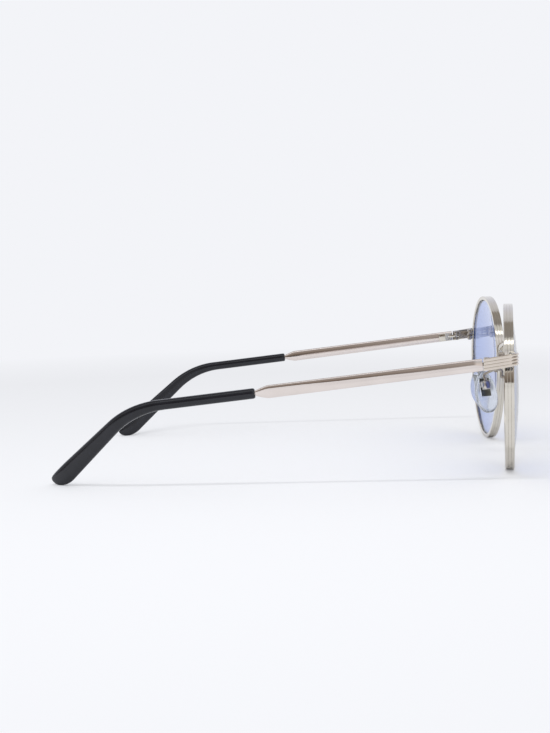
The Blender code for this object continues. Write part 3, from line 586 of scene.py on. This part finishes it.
outer_x = BLADE_X - BLADE_THICKNESS / 2 - BLADE_GAP
inner_x = outer_x - HOUSING_THICKNESS
housing_end = HOUSING_START + HOUSING_LENGTH
neck_end = HOUSING_START + NECK_OVERLAP
housing = block((inner_x, HOUSING_START, -HALF_HINGE), (outer_x, housing_end, HALF_HINGE))
housing = rounded(housing, HOUSING_ROUNDING, 4)
notch = block((inner_x - 1, NOTCH_FROM, -4), (inner_x + NOTCH_DEPTH, NOTCH_TO, 4))
housing = cut(housing, notch)
housing.transform(temple_turn)
neck = arc(BARREL, pi, 2 * pi, 24) + [(BARREL, neck_end), (-BARREL, neck_end)]
neck = rounded(slab(neck, -HALF_MIDDLE, HALF_MIDDLE), NECK_ROUNDING, 2, 50)
housing = cut(housing, neck, "UNION")
fit("hinge_housing", housing, hinge_place, silver, "hinge_rear", "temple", 40)

hinge_pin = slotted_screw(shank=0.5, head=0.9, length=3.3)
above = hinge_place @ Matrix.Translation((0, 0, HALF_HINGE + PIN_STANDOFF))
fit("hinge_pin", hinge_pin, above, screw_steel, "hinge_screw")

# Temple blades
# Each temple is a flat bar of nickel silver, rolled with full edges, that ends behind in a spear. From the
# spear a round tang goes on into the moulded tip. The bar is polished along its length and plated.

BLADE_START = 1.475
BLADE_LENGTH = 65.7
BLADE_HEIGHT = 4.1
BLADE_TAPER = 0.28
BLADE_SQUARENESS = 2.8
BLADE_SIDES = 64
BLADE_STEPS = 24
BLADE_END = ((0.0, 0.12), (0.04, 0.05), (0.12, 0.0))
SPEAR_LENGTH = 4.1
SPEAR_FULLNESS = 1.3
SPEAR_STEPS = 16
NECK_HEIGHT = 1.8
TANG_START = 0.06
TANG_LENGTH = 17.9
TANG_RADIUS = 0.7
TANG_SQUARENESS = 2.2
INNER_LEAN = radians(2.3)
OUTER_LEAN = ((0, -1.8), (19, -1.9), (34, -0.6), (45, 0.2), (60, 4), (80, 6))


def lean_at(y):
    """How far the outer face's upper edge leans outwards at a distance behind the hinge. OUTER_LEAN gives
    distances and angles in degrees, with smooth turns between them."""
    for (near, first), (far, second) in zip(OUTER_LEAN, OUTER_LEAN[1:]):
        if y <= far:
            share = (y - near) / (far - near)
            return radians(first + (second - first) * share * share * (3 - 2 * share))
    return radians(OUTER_LEAN[-1][1])


rosy = plating(
    "rosy_silver_plate", dark=(0.735, 0.667, 0.628), light=(0.775, 0.707, 0.668), smooth=0.03, rough=0.08,
    lines=(1, 0.08, 1),
)
stations = []
for y, less in list(BLADE_END) + [(BLADE_LENGTH * i / BLADE_STEPS, 0.0) for i in range(1, BLADE_STEPS + 1)]:
    height = BLADE_HEIGHT - 2 * less - BLADE_TAPER * (1 - y / BLADE_LENGTH)
    stations.append((BLADE_START + y, BLADE_THICKNESS - 2 * less, height))
for step in range(1, SPEAR_STEPS + 1):
    share = step / SPEAR_STEPS
    height = NECK_HEIGHT + (BLADE_HEIGHT - NECK_HEIGHT) * (1 - share**SPEAR_FULLNESS)
    stations.append((BLADE_START + BLADE_LENGTH + SPEAR_LENGTH * share, BLADE_THICKNESS, height))
neck_y = stations[-1][0]
for y in (neck_y + TANG_START, neck_y + TANG_LENGTH):
    stations.append((y, 2 * TANG_RADIUS, 2 * TANG_RADIUS))
rings = []
for y, width, height in stations:
    ring = []
    raised = BLADE_TAPER / 2 * max(0.0, 1 - (y - BLADE_START) / BLADE_LENGTH)
    squareness = TANG_SQUARENESS if width == height else BLADE_SQUARENESS
    for a, b in oval(width, height, BLADE_SIDES, squareness):
        outer = 0.5 + a / width
        lean = INNER_LEAN + (lean_at(y) - INNER_LEAN) * outer
        ring.append(Vector((BLADE_X + a + b * tan(lean), y, b + raised)))
    rings.append(ring)
fit("temple_bar", skin(rings), temple_place, rosy, "temple_blade", "temple", 40)

# Temple tips
# Each tip is black acetate, pushed hot over the tang, bent down behind the ear and tumbled to a high
# gloss. It grows towards its end, which is cut round.

TIP_MOUTH = 71.425
TIP_STRAIGHT = 29.3
TIP_BEND = 18.8
TIP_END = 23.1
TIP_DROP = radians(36.4)
TIP_CURL = radians(19.3)
TIP_HEIGHT = 3.3
TIP_END_HEIGHT = 6.1
TIP_THICKNESS = 3.0
TIP_END_THICKNESS = 2.6
TIP_MOUTH_ROUNDING = ((0.0, 0.55), (0.03, 0.72), (0.12, 0.84), (0.28, 0.92), (0.5, 0.975), (0.8, 1.0))
TIP_SIDES = 36
TIP_SQUARENESS = 2.3
TIP_STEP = 0.25
TIP_STEPS_A_RING = 6
CAP_LENGTH = 7.9
CAP_LEAN = 0.95
CAP_LEAN_LOSS = 0.45
CAP_BLUNTNESS = 0.12
CAP_STEPS = 18
CAP_POINT = (0.1, 0.2)
ACETATE_DARK = (0.003, 0.004, 0.008)
ACETATE_LIGHT = (0.008, 0.009, 0.015)


def tip_direction(along):
    """Which way the tip runs at a distance from its mouth."""
    turned = min(1.0, max(0.0, (along - TIP_STRAIGHT) / TIP_BEND))
    drop, curl = TIP_DROP * turned, TIP_CURL * turned
    return Vector((-sin(curl), cos(curl) * cos(drop), -cos(curl) * sin(drop)))


def tip_ring(centre, direction, width, height):
    """A ring round the tip, square to its direction."""
    up = (Vector((0, 0, 1)) - direction * direction.z).normalized()
    across = direction.cross(up)
    return [centre + across * a + up * b for a, b in oval(width, height, TIP_SIDES, TIP_SQUARENESS)]


tip_length = TIP_STRAIGHT + TIP_BEND + TIP_END
tip_steps = round(tip_length / TIP_STEP)
centre = Vector((BLADE_X, TIP_MOUTH, 0))
rings = []
for along, share in TIP_MOUTH_ROUNDING:
    place = centre + Vector((0, along, 0))
    rings.append(tip_ring(place, Vector((0, 1, 0)), TIP_THICKNESS * share, TIP_HEIGHT * share))
for step in range(1, tip_steps + 1):
    along = step * TIP_STEP
    direction = tip_direction(along - TIP_STEP / 2)
    centre = centre + direction * TIP_STEP
    if step % TIP_STEPS_A_RING == 0 or step == tip_steps:
        grown = max(0.0, (along - TIP_STRAIGHT) / (tip_length - TIP_STRAIGHT))
        height = TIP_HEIGHT + (TIP_END_HEIGHT - TIP_HEIGHT) * grown
        width = TIP_THICKNESS + (TIP_END_THICKNESS - TIP_THICKNESS) * grown
        rings.append(tip_ring(centre, direction, width, height))
direction = tip_direction(tip_length)
up = (Vector((0, 0, 1)) - direction * direction.z).normalized()
for step in range(1, CAP_STEPS + 1):
    share = step / CAP_STEPS
    reach = sin(pi / 2 * share)
    narrowed = sqrt(1 - reach**2) + CAP_BLUNTNESS * reach * (1 - share**8)
    width, height = TIP_END_THICKNESS * narrowed, TIP_END_HEIGHT * narrowed
    leaned = up * ((TIP_END_HEIGHT - height) / 2 * CAP_LEAN * (1 - CAP_LEAN_LOSS * share**3))
    if step == CAP_STEPS:
        width, height = CAP_POINT
    rings.append(tip_ring(centre + direction * CAP_LENGTH * reach + leaned, direction, width, height))

black, nodes, links, shader = nodes_of("black_acetate")
shader.inputs["IOR"].default_value = 1.49
cloud = spread(nodes, links, noise(nodes, links, scale=260, detail=4), ACETATE_DARK, ACETATE_LIGHT)
links.new(cloud, shader.inputs["Base Color"])
gloss = spread(nodes, links, noise(nodes, links, scale=900, detail=4), 0.08, 0.2)
links.new(gloss, shader.inputs["Roughness"])
bumped(nodes, links, shader, noise(nodes, links, scale=420, detail=2), strength=0.06, distance=0.0001)
fit("ear_tip", skin(rings), temple_place, black, "temple_tip", "temple", 60)

# Pad arms
# A bent wire of nickel silver is brazed to the back of each rim on its nose side. It goes back, over an arch
# and down to the box that holds the nose pad.

PAD_SIDE = 9.6
PAD_BACK = 5.25
PAD_DROP = 2.0
PAD_SPLAY = radians(30)
PAD_FLARE = radians(15)
ARM_RADIUS = 0.5
ARM_ARCH = 3.8
ARM_ROOT = 0.8
ARM_STUB = 0.85
ARM_DROP = 2.2
ARM_SUNK = 0.15
ARM_BEND_STEPS = 12
ARM_SIDES = 20
ARM_FILLET = 0.35
ARM_FILLET_STEPS = 8
BOX_HEIGHT = 3.2
BOX_MIDDLE = 1.3
BOX_DROP = 0.4
pad_turn = Euler((0, -PAD_FLARE, -PAD_SPLAY)).to_matrix()
pad_pivot = Vector((PAD_SIDE, EYE_Y + PAD_BACK, EYE_HEIGHT - PAD_DROP))
pad_place = Matrix.Translation(pad_pivot) @ pad_turn.to_4x4()


def smooth_path(points, steps):
    """Points along the smooth curve through the given ones."""
    path = []
    for i in range(len(points) - 1):
        start, end = points[i], points[i + 1]
        before, after = points[max(i - 1, 0)], points[min(i + 2, len(points) - 1)]
        for step in range(steps):
            t = step / steps
            square = (2 * before - 5 * start + 4 * end - after) * (t**2 / 2)
            cube = (3 * start - 3 * end + after - before) * (t**3 / 2)
            path.append(start + (end - before) * (t / 2) + square + cube)
    return path + [points[-1]]


eye_turn = Matrix.Rotation(EYE_WRAP, 3, "Z")
root_turn = pi - asin(ARM_ROOT / EYE_HALF_HEIGHT)
root = Vector((EYE_SIDE, EYE_Y, EYE_HEIGHT))
root = root + eye_turn @ eye_point(root_turn, 0.1, ARM_SUNK - RIM_DEPTH / 2)
back = eye_turn @ Vector((0, 1, 0))
pad_up = pad_turn @ Vector((0, 0, 1))
arm_end = pad_pivot + pad_turn @ Vector((BOX_MIDDLE, 0.4, BOX_HEIGHT / 2 - BOX_DROP - 0.1))
over = (root + arm_end) / 2
over.z = EYE_HEIGHT + ARM_ARCH - ARM_RADIUS
shoulder = Vector((root.x, root.y, over.z)).lerp(over, 0.3) - Vector((0, 0, 0.6 * ARM_RADIUS))
bends = [root, root + back * ARM_STUB, shoulder, over]
bends += [arm_end + pad_up * ARM_DROP, arm_end + pad_up * ARM_RADIUS, arm_end]
path = smooth_path(bends, ARM_BEND_STEPS)
rings = []
for i, point in enumerate(path):
    direction = (path[min(i + 1, len(path) - 1)] - path[max(i - 1, 0)]).normalized()
    if i == 0:
        direction = back
    across = direction.cross(Vector((1, 0, 0))).normalized()
    other = direction.cross(across)
    thick = ARM_RADIUS * (1 + ARM_FILLET * max(0.0, 1 - i / ARM_FILLET_STEPS) ** 2)
    rings.append([point + across * a + other * b for a, b in circle(thick, ARM_SIDES)])
fit("pad_wire", skin(rings), Matrix.Identity(4), painted_dark_silver, "pad_arm", sharp=60)

# Pad boxes, inserts and screws
# The arm ends in a small open box of nickel silver. The boss of the pad's dark plated insert sits loosely in
# it, and a screw across both lets the pad rock.

BOX_INSIDE = 0.75
BOX_WALL = 0.45
BOX_OPEN_TO = 1.05
# Beyond this reach the box's domed end carries a painted dark blue reflection of the lens.
BOX_PAINTED_REFLECTION_FROM = 1.7
BOX_SIDES = 48
BOX_SHAPE = (  # how far out from the pad, share of the full size, squareness
    (-0.55, 0.9, 5),
    (-0.47, 0.97, 6),
    (-0.3, 1.0, 7),
    (0.9, 1.0, 6),
    (1.3, 0.99, 4.5),
    (1.6, 0.95, 3.5),
    (1.85, 0.86, 2.9),
    (2.02, 0.72, 2.5),
    (2.12, 0.52, 2.3),
    (2.16, 0.25, 2.2),
)
box_outside = BOX_INSIDE + BOX_WALL
# Painted reflection: the box's end is painted dark blue, as the lens mirrored there.
silver_painted_blue = plating(
    "silver_plate_painted_blue_reflection", dark=(0.6, 0.57, 0.52), light=(0.68, 0.65, 0.6), smooth=0.1, rough=0.2,
    painted_shade_share=0.85, shade=(0.17, 0.17, 0.28),
)
rings, painted_shades = [], []
for reach, share, squareness in BOX_SHAPE:
    outline = oval(2 * box_outside * share, BOX_HEIGHT * share, BOX_SIDES, squareness)
    rings.append([Vector((reach, across, rise - BOX_DROP)) for across, rise in outline])
    painted_shades.append([1.0 if reach > BOX_PAINTED_REFLECTION_FROM else 0.0] * BOX_SIDES)
slot = block((-1.2, -BOX_INSIDE, -4), (BOX_OPEN_TO, BOX_INSIDE, 4))
fit("pad_cup", cut(skin(rings, painted_shades), slot), pad_place, silver_painted_blue, "pad_box", sharp=40)

INSERT_STANDOFF = 1.1
INSERT_THICKNESS = 0.6
INSERT_REACH = (-2.8, 1.3)
INSERT_RISE = (-4.0, 2.4)
INSERT_ROUNDING = 0.2
BOSS_RADIUS = 0.75
BOSS_HALF_WIDTH = 0.6
BOSS_ROUNDING = 0.08
PLATE_DARK = (0.075, 0.075, 0.065)
PLATE_LIGHT = (0.15, 0.15, 0.13)
insert_front = -INSERT_STANDOFF - INSERT_THICKNESS
plate_low = (insert_front, INSERT_REACH[0], INSERT_RISE[0])
plate_high = (-INSERT_STANDOFF, INSERT_REACH[1], INSERT_RISE[1])
plate = rounded(block(plate_low, plate_high), INSERT_ROUNDING, 3)
boss_root = -INSERT_STANDOFF - INSERT_THICKNESS / 2
boss = [(boss_root, BOSS_RADIUS)] + arc(BOSS_RADIUS, pi / 2, -pi / 2, 20) + [(boss_root, -BOSS_RADIUS)]
boss = rounded(slab(boss, -BOSS_HALF_WIDTH, BOSS_HALF_WIDTH, "Y"), BOSS_ROUNDING, 2, 50)
plate = cut(plate, boss, "UNION")
dark, nodes, links, shader = nodes_of("dark_plate")
shader.inputs["Metallic"].default_value = 1.0
cloud = spread(nodes, links, noise(nodes, links, scale=700, detail=3), PLATE_DARK, PLATE_LIGHT)
links.new(cloud, shader.inputs["Base Color"])
gloss = spread(nodes, links, noise(nodes, links, scale=1500, detail=3), 0.25, 0.45)
links.new(gloss, shader.inputs["Roughness"])
bumped(nodes, links, shader, noise(nodes, links, scale=3000, detail=3), strength=0.15, distance=0.00003)
fit("pad_plate", plate, pad_place, dark, "pad_insert", "pad", 40)

pad_pin = slotted_screw(shank=0.35, head=1.1, length=2.4)
beside = Matrix.Translation((0, box_outside + HEAD_STANDOFF, 0)) @ Matrix.Rotation(-pi / 2, 4, "X")
fit("pad_pin", pad_pin, pad_place @ beside, screw_steel, "pad_screw")

# Nose pads
# Each pad is a drop of clear silicone, moulded round its insert, with a flat back, a full edge and a domed
# face. It is soft, so its surface is glossy but never quite sharp. Round its edge runs a painted dark line
# of shade, darker on one side.

PAD_HEIGHT = 15.2
PAD_WIDTH = 8.9
PAD_SHIFT = 1.2
PAD_LOWERED = 2.4
PAD_THICKNESS = 2.5
PAD_TAPER = 0.2
PAD_SIDES = 72
# The edge line's darkness is painted shade.
PAD_LAYERS = (  # share of the full outline, share of the thickness, darkness of the edge line
    (0.6, 0.0, 0.0),
    (0.82, 0.0, 0.0),
    (0.9, 0.03, 0.5),
    (0.955, 0.1, 1.0),
    (0.985, 0.2, 0.8),
    (1.0, 0.33, 0.0),
    (0.99, 0.46, 0.0),
    (0.955, 0.6, 0.0),
    (0.89, 0.73, 0.0),
    (0.79, 0.84, 0.0),
    (0.66, 0.915, 0.0),
    (0.5, 0.962, 0.0),
    (0.32, 0.988, 0.0),
    (0.12, 1.0, 0.0),
)
# The painted shade round the pad's edge is weakest on one side and full on the other.
PAINTED_EDGE_SHADE_LEAST = 0.35
PAINTED_EDGE_SHADE_COLOUR = (0.12, 0.14, 0.17)
SILICONE_CLEARNESS = 0.85
POCKET_PLAY = 0.05
rings, painted_shades = [], []
for scale, share, painted_edge_shade in PAD_LAYERS:
    x = -INSERT_STANDOFF - share * PAD_THICKNESS
    ring, depths = [], []
    for i in range(PAD_SIDES):
        turn = 2 * pi * i / PAD_SIDES
        y = PAD_WIDTH / 2 * cos(turn) * (1 - PAD_TAPER * sin(turn)) * scale - PAD_SHIFT
        ring.append(Vector((x, y, PAD_HEIGHT / 2 * sin(turn) * scale - PAD_LOWERED)))
        depths.append(painted_edge_shade * (PAINTED_EDGE_SHADE_LEAST + (1 - PAINTED_EDGE_SHADE_LEAST) * (1 - cos(turn)) / 2))
    rings.append(ring)
    painted_shades.append(depths)
pocket_low = [corner - POCKET_PLAY for corner in plate_low]
pocket_high = (-INSERT_STANDOFF + 1, INSERT_REACH[1] + POCKET_PLAY, INSERT_RISE[1] + POCKET_PLAY)
pad = cut(skin(rings, painted_shades), block(pocket_low, pocket_high))
clear, nodes, links, shader = tinted(
    "milky_silicone", tint=(0.87, 0.9, 0.945), shade=(0.91, 0.93, 0.965), index=1.41, rough=0.2,
    shadow=(0.7, 0.74, 0.8),
)
shader.inputs["Transmission Weight"].default_value = SILICONE_CLEARNESS
# Mixes the painted shade line into the silicone's colour round its edge.
edge = nodes.new("ShaderNodeAttribute")
edge.attribute_name = "painted_shade"
shaded = nodes.new("ShaderNodeMix")
shaded.data_type = "RGBA"
links.new(edge.outputs["Fac"], shaded.inputs["Factor"])
links.new(shader.inputs["Base Color"].links[0].from_socket, shaded.inputs["A"])
shaded.inputs["B"].default_value = (*PAINTED_EDGE_SHADE_COLOUR, 1)
links.new(shaded.outputs["Result"], shader.inputs["Base Color"])
bumped(nodes, links, shader, noise(nodes, links, scale=380, detail=2), strength=0.1, distance=0.0001)
fit("nose_drop", pad, pad_place, clear, "nose_pad", "pad", 35)

# The table, the light and the camera
# The glasses stand on a pale table that fades into a pale backdrop, in a tent that is brighter above. A
# narrow strip lamp throws their shadow. A long white panel and the studio's pale and dark cards are there
# only for the metal to mirror.

TABLE_COLOUR = (0.93, 0.94, 0.975)
TABLE_FIBRE = 0.996
TABLE_HALF_SIZE = 30
TABLE_DROP = 0.00004
BACKDROP = (0.896, 0.905, 0.939)
TENT_LOW, TENT_HIGH = 0.46, 0.98
PLAIN_FROM, PLAIN_TO, PLAIN_NEAR = 0.25, 0.55, 0.3
STUDIO = (  # degrees up from the right, the colour in front, and the colour behind where it differs
    (0, (0.82, 0.78, 0.76), (0.13, 0.1, 0.08)),
    (3, (0.8, 0.76, 0.74), (0.17, 0.135, 0.115)),
    (9, (0.72, 0.7, 0.67), (0.28, 0.235, 0.2)),
    (15, (0.65, 0.65, 0.65), (0.36, 0.31, 0.28)),
    (23, (0.66, 0.65, 0.66), (0.37, 0.33, 0.3)),
    (26, (0.7, 0.69, 0.7), (0.36, 0.32, 0.3)),
    (30, (0.75, 0.74, 0.78), (0.34, 0.31, 0.29)),
    (37, (0.88, 0.88, 0.93), (0.4, 0.38, 0.37)),
    (44, (0.95, 0.94, 1.0)),
    (50, (0.62, 0.62, 0.65)),
    (54, (0.8, 0.8, 0.8)),
    (64, (0.8, 0.8, 0.8)),
    (71.5, (0.75, 0.75, 0.75)),
    (74, (0.32, 0.3, 0.29)),
    (104, (0.33, 0.3, 0.27)),
    (108.5, (0.62, 0.61, 0.64)),
    (119, (0.73, 0.735, 0.775)),
    (131, (0.76, 0.76, 0.83)),
    (143, (0.79, 0.81, 0.93)),
    (155, (0.84, 0.86, 0.95)),
    (180, BACKDROP),
)
REAR_FROM, REAR_TO = -0.25, 0.05
LAMPS = (  # name, place, width and length, watts
    ("shadow_strip", (-0.215, 0.02, 0.4), (0.018, 0.3), 0.45),
    ("mirrored_panel", (-0.249, 0.0, 0.442), (0.055, 0.8), 0.207),
)


def plain_ray(nodes, links):
    """Three values of 1 or 0: for what is seen directly, mirrored or through something clear, for what is
    mirrored alone, and for what is seen directly alone."""
    path = nodes.new("ShaderNodeLightPath")
    total = path.outputs["Is Camera Ray"]
    for ray in ("Is Glossy Ray", "Is Transmission Ray"):
        either = nodes.new("ShaderNodeMath")
        either.operation = "MAXIMUM"
        links.new(total, either.inputs[0])
        links.new(path.outputs[ray], either.inputs[1])
        total = either.outputs["Value"]
    mirrored = nodes.new("ShaderNodeMath")
    mirrored.operation = "GREATER_THAN"
    links.new(path.outputs["Is Glossy Ray"], mirrored.inputs[0])
    links.new(path.outputs["Is Transmission Ray"], mirrored.inputs[1])
    return total, mirrored.outputs["Value"], path.outputs["Is Camera Ray"]


def mixed(nodes, links, share, first, second):
    """Two shaders mixed."""
    mix = nodes.new("ShaderNodeMixShader")
    links.new(share, mix.inputs["Fac"])
    links.new(first, mix.inputs[1])
    links.new(second, mix.inputs[2])
    return mix.outputs["Shader"]


made = bmesh.new()
bmesh.ops.create_grid(made, x_segments=2, y_segments=2, size=TABLE_HALF_SIZE)
table_top = bpy.data.meshes.new("table_top")
made.to_mesh(table_top)
made.free()
table, nodes, links, shader = nodes_of("pale_paper")
shader.inputs["Roughness"].default_value = 0.9
shader.inputs["Specular IOR Level"].default_value = 0.0
fibre_colour = tuple(channel * TABLE_FIBRE for channel in TABLE_COLOUR)
fibres = spread(nodes, links, noise(nodes, links, scale=3, detail=3), fibre_colour, TABLE_COLOUR)
links.new(fibres, shader.inputs["Base Color"])
place = nodes.new("ShaderNodeNewGeometry")
distance = nodes.new("ShaderNodeVectorMath")
distance.operation = "LENGTH"
links.new(place.outputs["Position"], distance.inputs[0])
any_plain, _, direct = plain_ray(nodes, links)
away, near, away_or_near = [nodes.new("ShaderNodeMath") for _ in range(3)]
away.operation, near.operation, away_or_near.operation = "MULTIPLY", "MULTIPLY", "MAXIMUM"
links.new(spread(nodes, links, distance.outputs["Value"], 0.0, 1.0, PLAIN_FROM, PLAIN_TO), away.inputs[0])
links.new(any_plain, away.inputs[1])
links.new(direct, near.inputs[0])
near.inputs[1].default_value = PLAIN_NEAR
links.new(away.outputs["Value"], away_or_near.inputs[0])
links.new(near.outputs["Value"], away_or_near.inputs[1])
plain = nodes.new("ShaderNodeEmission")
plain.inputs["Color"].default_value = (*BACKDROP, 1)
plain_share = away_or_near.outputs["Value"]
surface = mixed(nodes, links, plain_share, shader.outputs["BSDF"], plain.outputs["Emission"])
links.new(surface, nodes["Material Output"].inputs["Surface"])
table_top.materials.append(table)
floor = bpy.data.objects.new("table_top", table_top)
floor.location.z = -TABLE_DROP
bpy.context.scene.collection.objects.link(floor)

world = bpy.data.worlds.new("tent")
bpy.context.scene.world = world
world.use_nodes = True
nodes, links = world.node_tree.nodes, world.node_tree.links
towards = nodes.new("ShaderNodeTexCoord")
parts = nodes.new("ShaderNodeSeparateXYZ")
links.new(towards.outputs["Generated"], parts.inputs["Vector"])
tent = nodes["Background"]
tent.inputs["Color"].default_value = (1, 1, 1, 1)
links.new(spread(nodes, links, parts.outputs["Z"], TENT_LOW, TENT_HIGH, 0.0, 1.0), tent.inputs["Strength"])
seen = nodes.new("ShaderNodeBackground")
seen.inputs["Color"].default_value = (*BACKDROP, 1)
flipped = nodes.new("ShaderNodeMath")
flipped.operation = "MULTIPLY"
flipped.inputs[1].default_value = -1.0
links.new(parts.outputs["X"], flipped.inputs[0])
height = nodes.new("ShaderNodeMath")
height.operation = "ARCTAN2"
links.new(parts.outputs["Z"], height.inputs[0])
links.new(flipped.outputs["Value"], height.inputs[1])
share = spread(nodes, links, height.outputs["Value"], 0.0, 1.0, 0.0, pi)
cards = []
for end in (1, -1):
    bands = nodes.new("ShaderNodeValToRGB")
    while len(bands.color_ramp.elements) < len(STUDIO):
        bands.color_ramp.elements.new(1.0)
    for element, (degrees_up, *colours) in zip(bands.color_ramp.elements, STUDIO):
        element.position = degrees_up / 180
        element.color = (*(colours[0] if end == 1 else colours[-1]), 1)
    links.new(share, bands.inputs["Fac"])
    mirrored = nodes.new("ShaderNodeBackground")
    links.new(bands.outputs["Color"], mirrored.inputs["Color"])
    cards.append(mirrored.outputs["Background"])
rear = spread(nodes, links, parts.outputs["Y"], 0.0, 1.0, REAR_FROM, REAR_TO)
any_plain, glossy, _ = plain_ray(nodes, links)
surface = mixed(nodes, links, any_plain, tent.outputs["Background"], seen.outputs["Background"])
surface = mixed(nodes, links, glossy, surface, mixed(nodes, links, rear, *cards))
links.new(surface, nodes["World Output"].inputs["Surface"])

for name, spot, (width, length), watts in LAMPS:
    light = bpy.data.lights.new(name, "AREA")
    light.shape = "RECTANGLE"
    light.size, light.size_y = width, length
    light.energy = watts
    lamp = bpy.data.objects.new(name, light)
    lamp.matrix_world = Matrix.Translation(spot) @ Matrix.Rotation(-atan2(-spot[0], spot[2]), 4, "Y")
    lamp.visible_camera = False
    lamp.visible_diffuse = name == "shadow_strip"
    lamp.visible_glossy = name == "mirrored_panel"
    lamp.visible_transmission = False
    bpy.context.scene.collection.objects.link(lamp)

CAMERA_PLACE = (-0.457535, EYE_Y * MM + 0.0451582, 0.0714937)
CAMERA_YAW, CAMERA_DROP, CAMERA_ROLL = 0.0756767, 0.0852512, -0.0265631
CAMERA_LENS = 62.2915
ahead = Vector((cos(CAMERA_YAW) * cos(CAMERA_DROP), sin(CAMERA_YAW) * cos(CAMERA_DROP), -sin(CAMERA_DROP)))
level = ahead.cross(Vector((0, 0, 1))).normalized()
upright = level.cross(ahead)
right = level * cos(CAMERA_ROLL) + upright * sin(CAMERA_ROLL)
top = upright * cos(CAMERA_ROLL) - level * sin(CAMERA_ROLL)
camera = bpy.data.objects.new("camera", bpy.data.cameras.new("camera"))
camera.data.lens = CAMERA_LENS
camera.data.clip_start, camera.data.clip_end = 0.01, 100
camera.matrix_world = Matrix.Translation(CAMERA_PLACE) @ Matrix((right, top, -ahead)).transposed().to_4x4()
bpy.context.scene.collection.objects.link(camera)
bpy.context.scene.camera = camera
bpy.context.scene.view_settings.view_transform = "Standard"
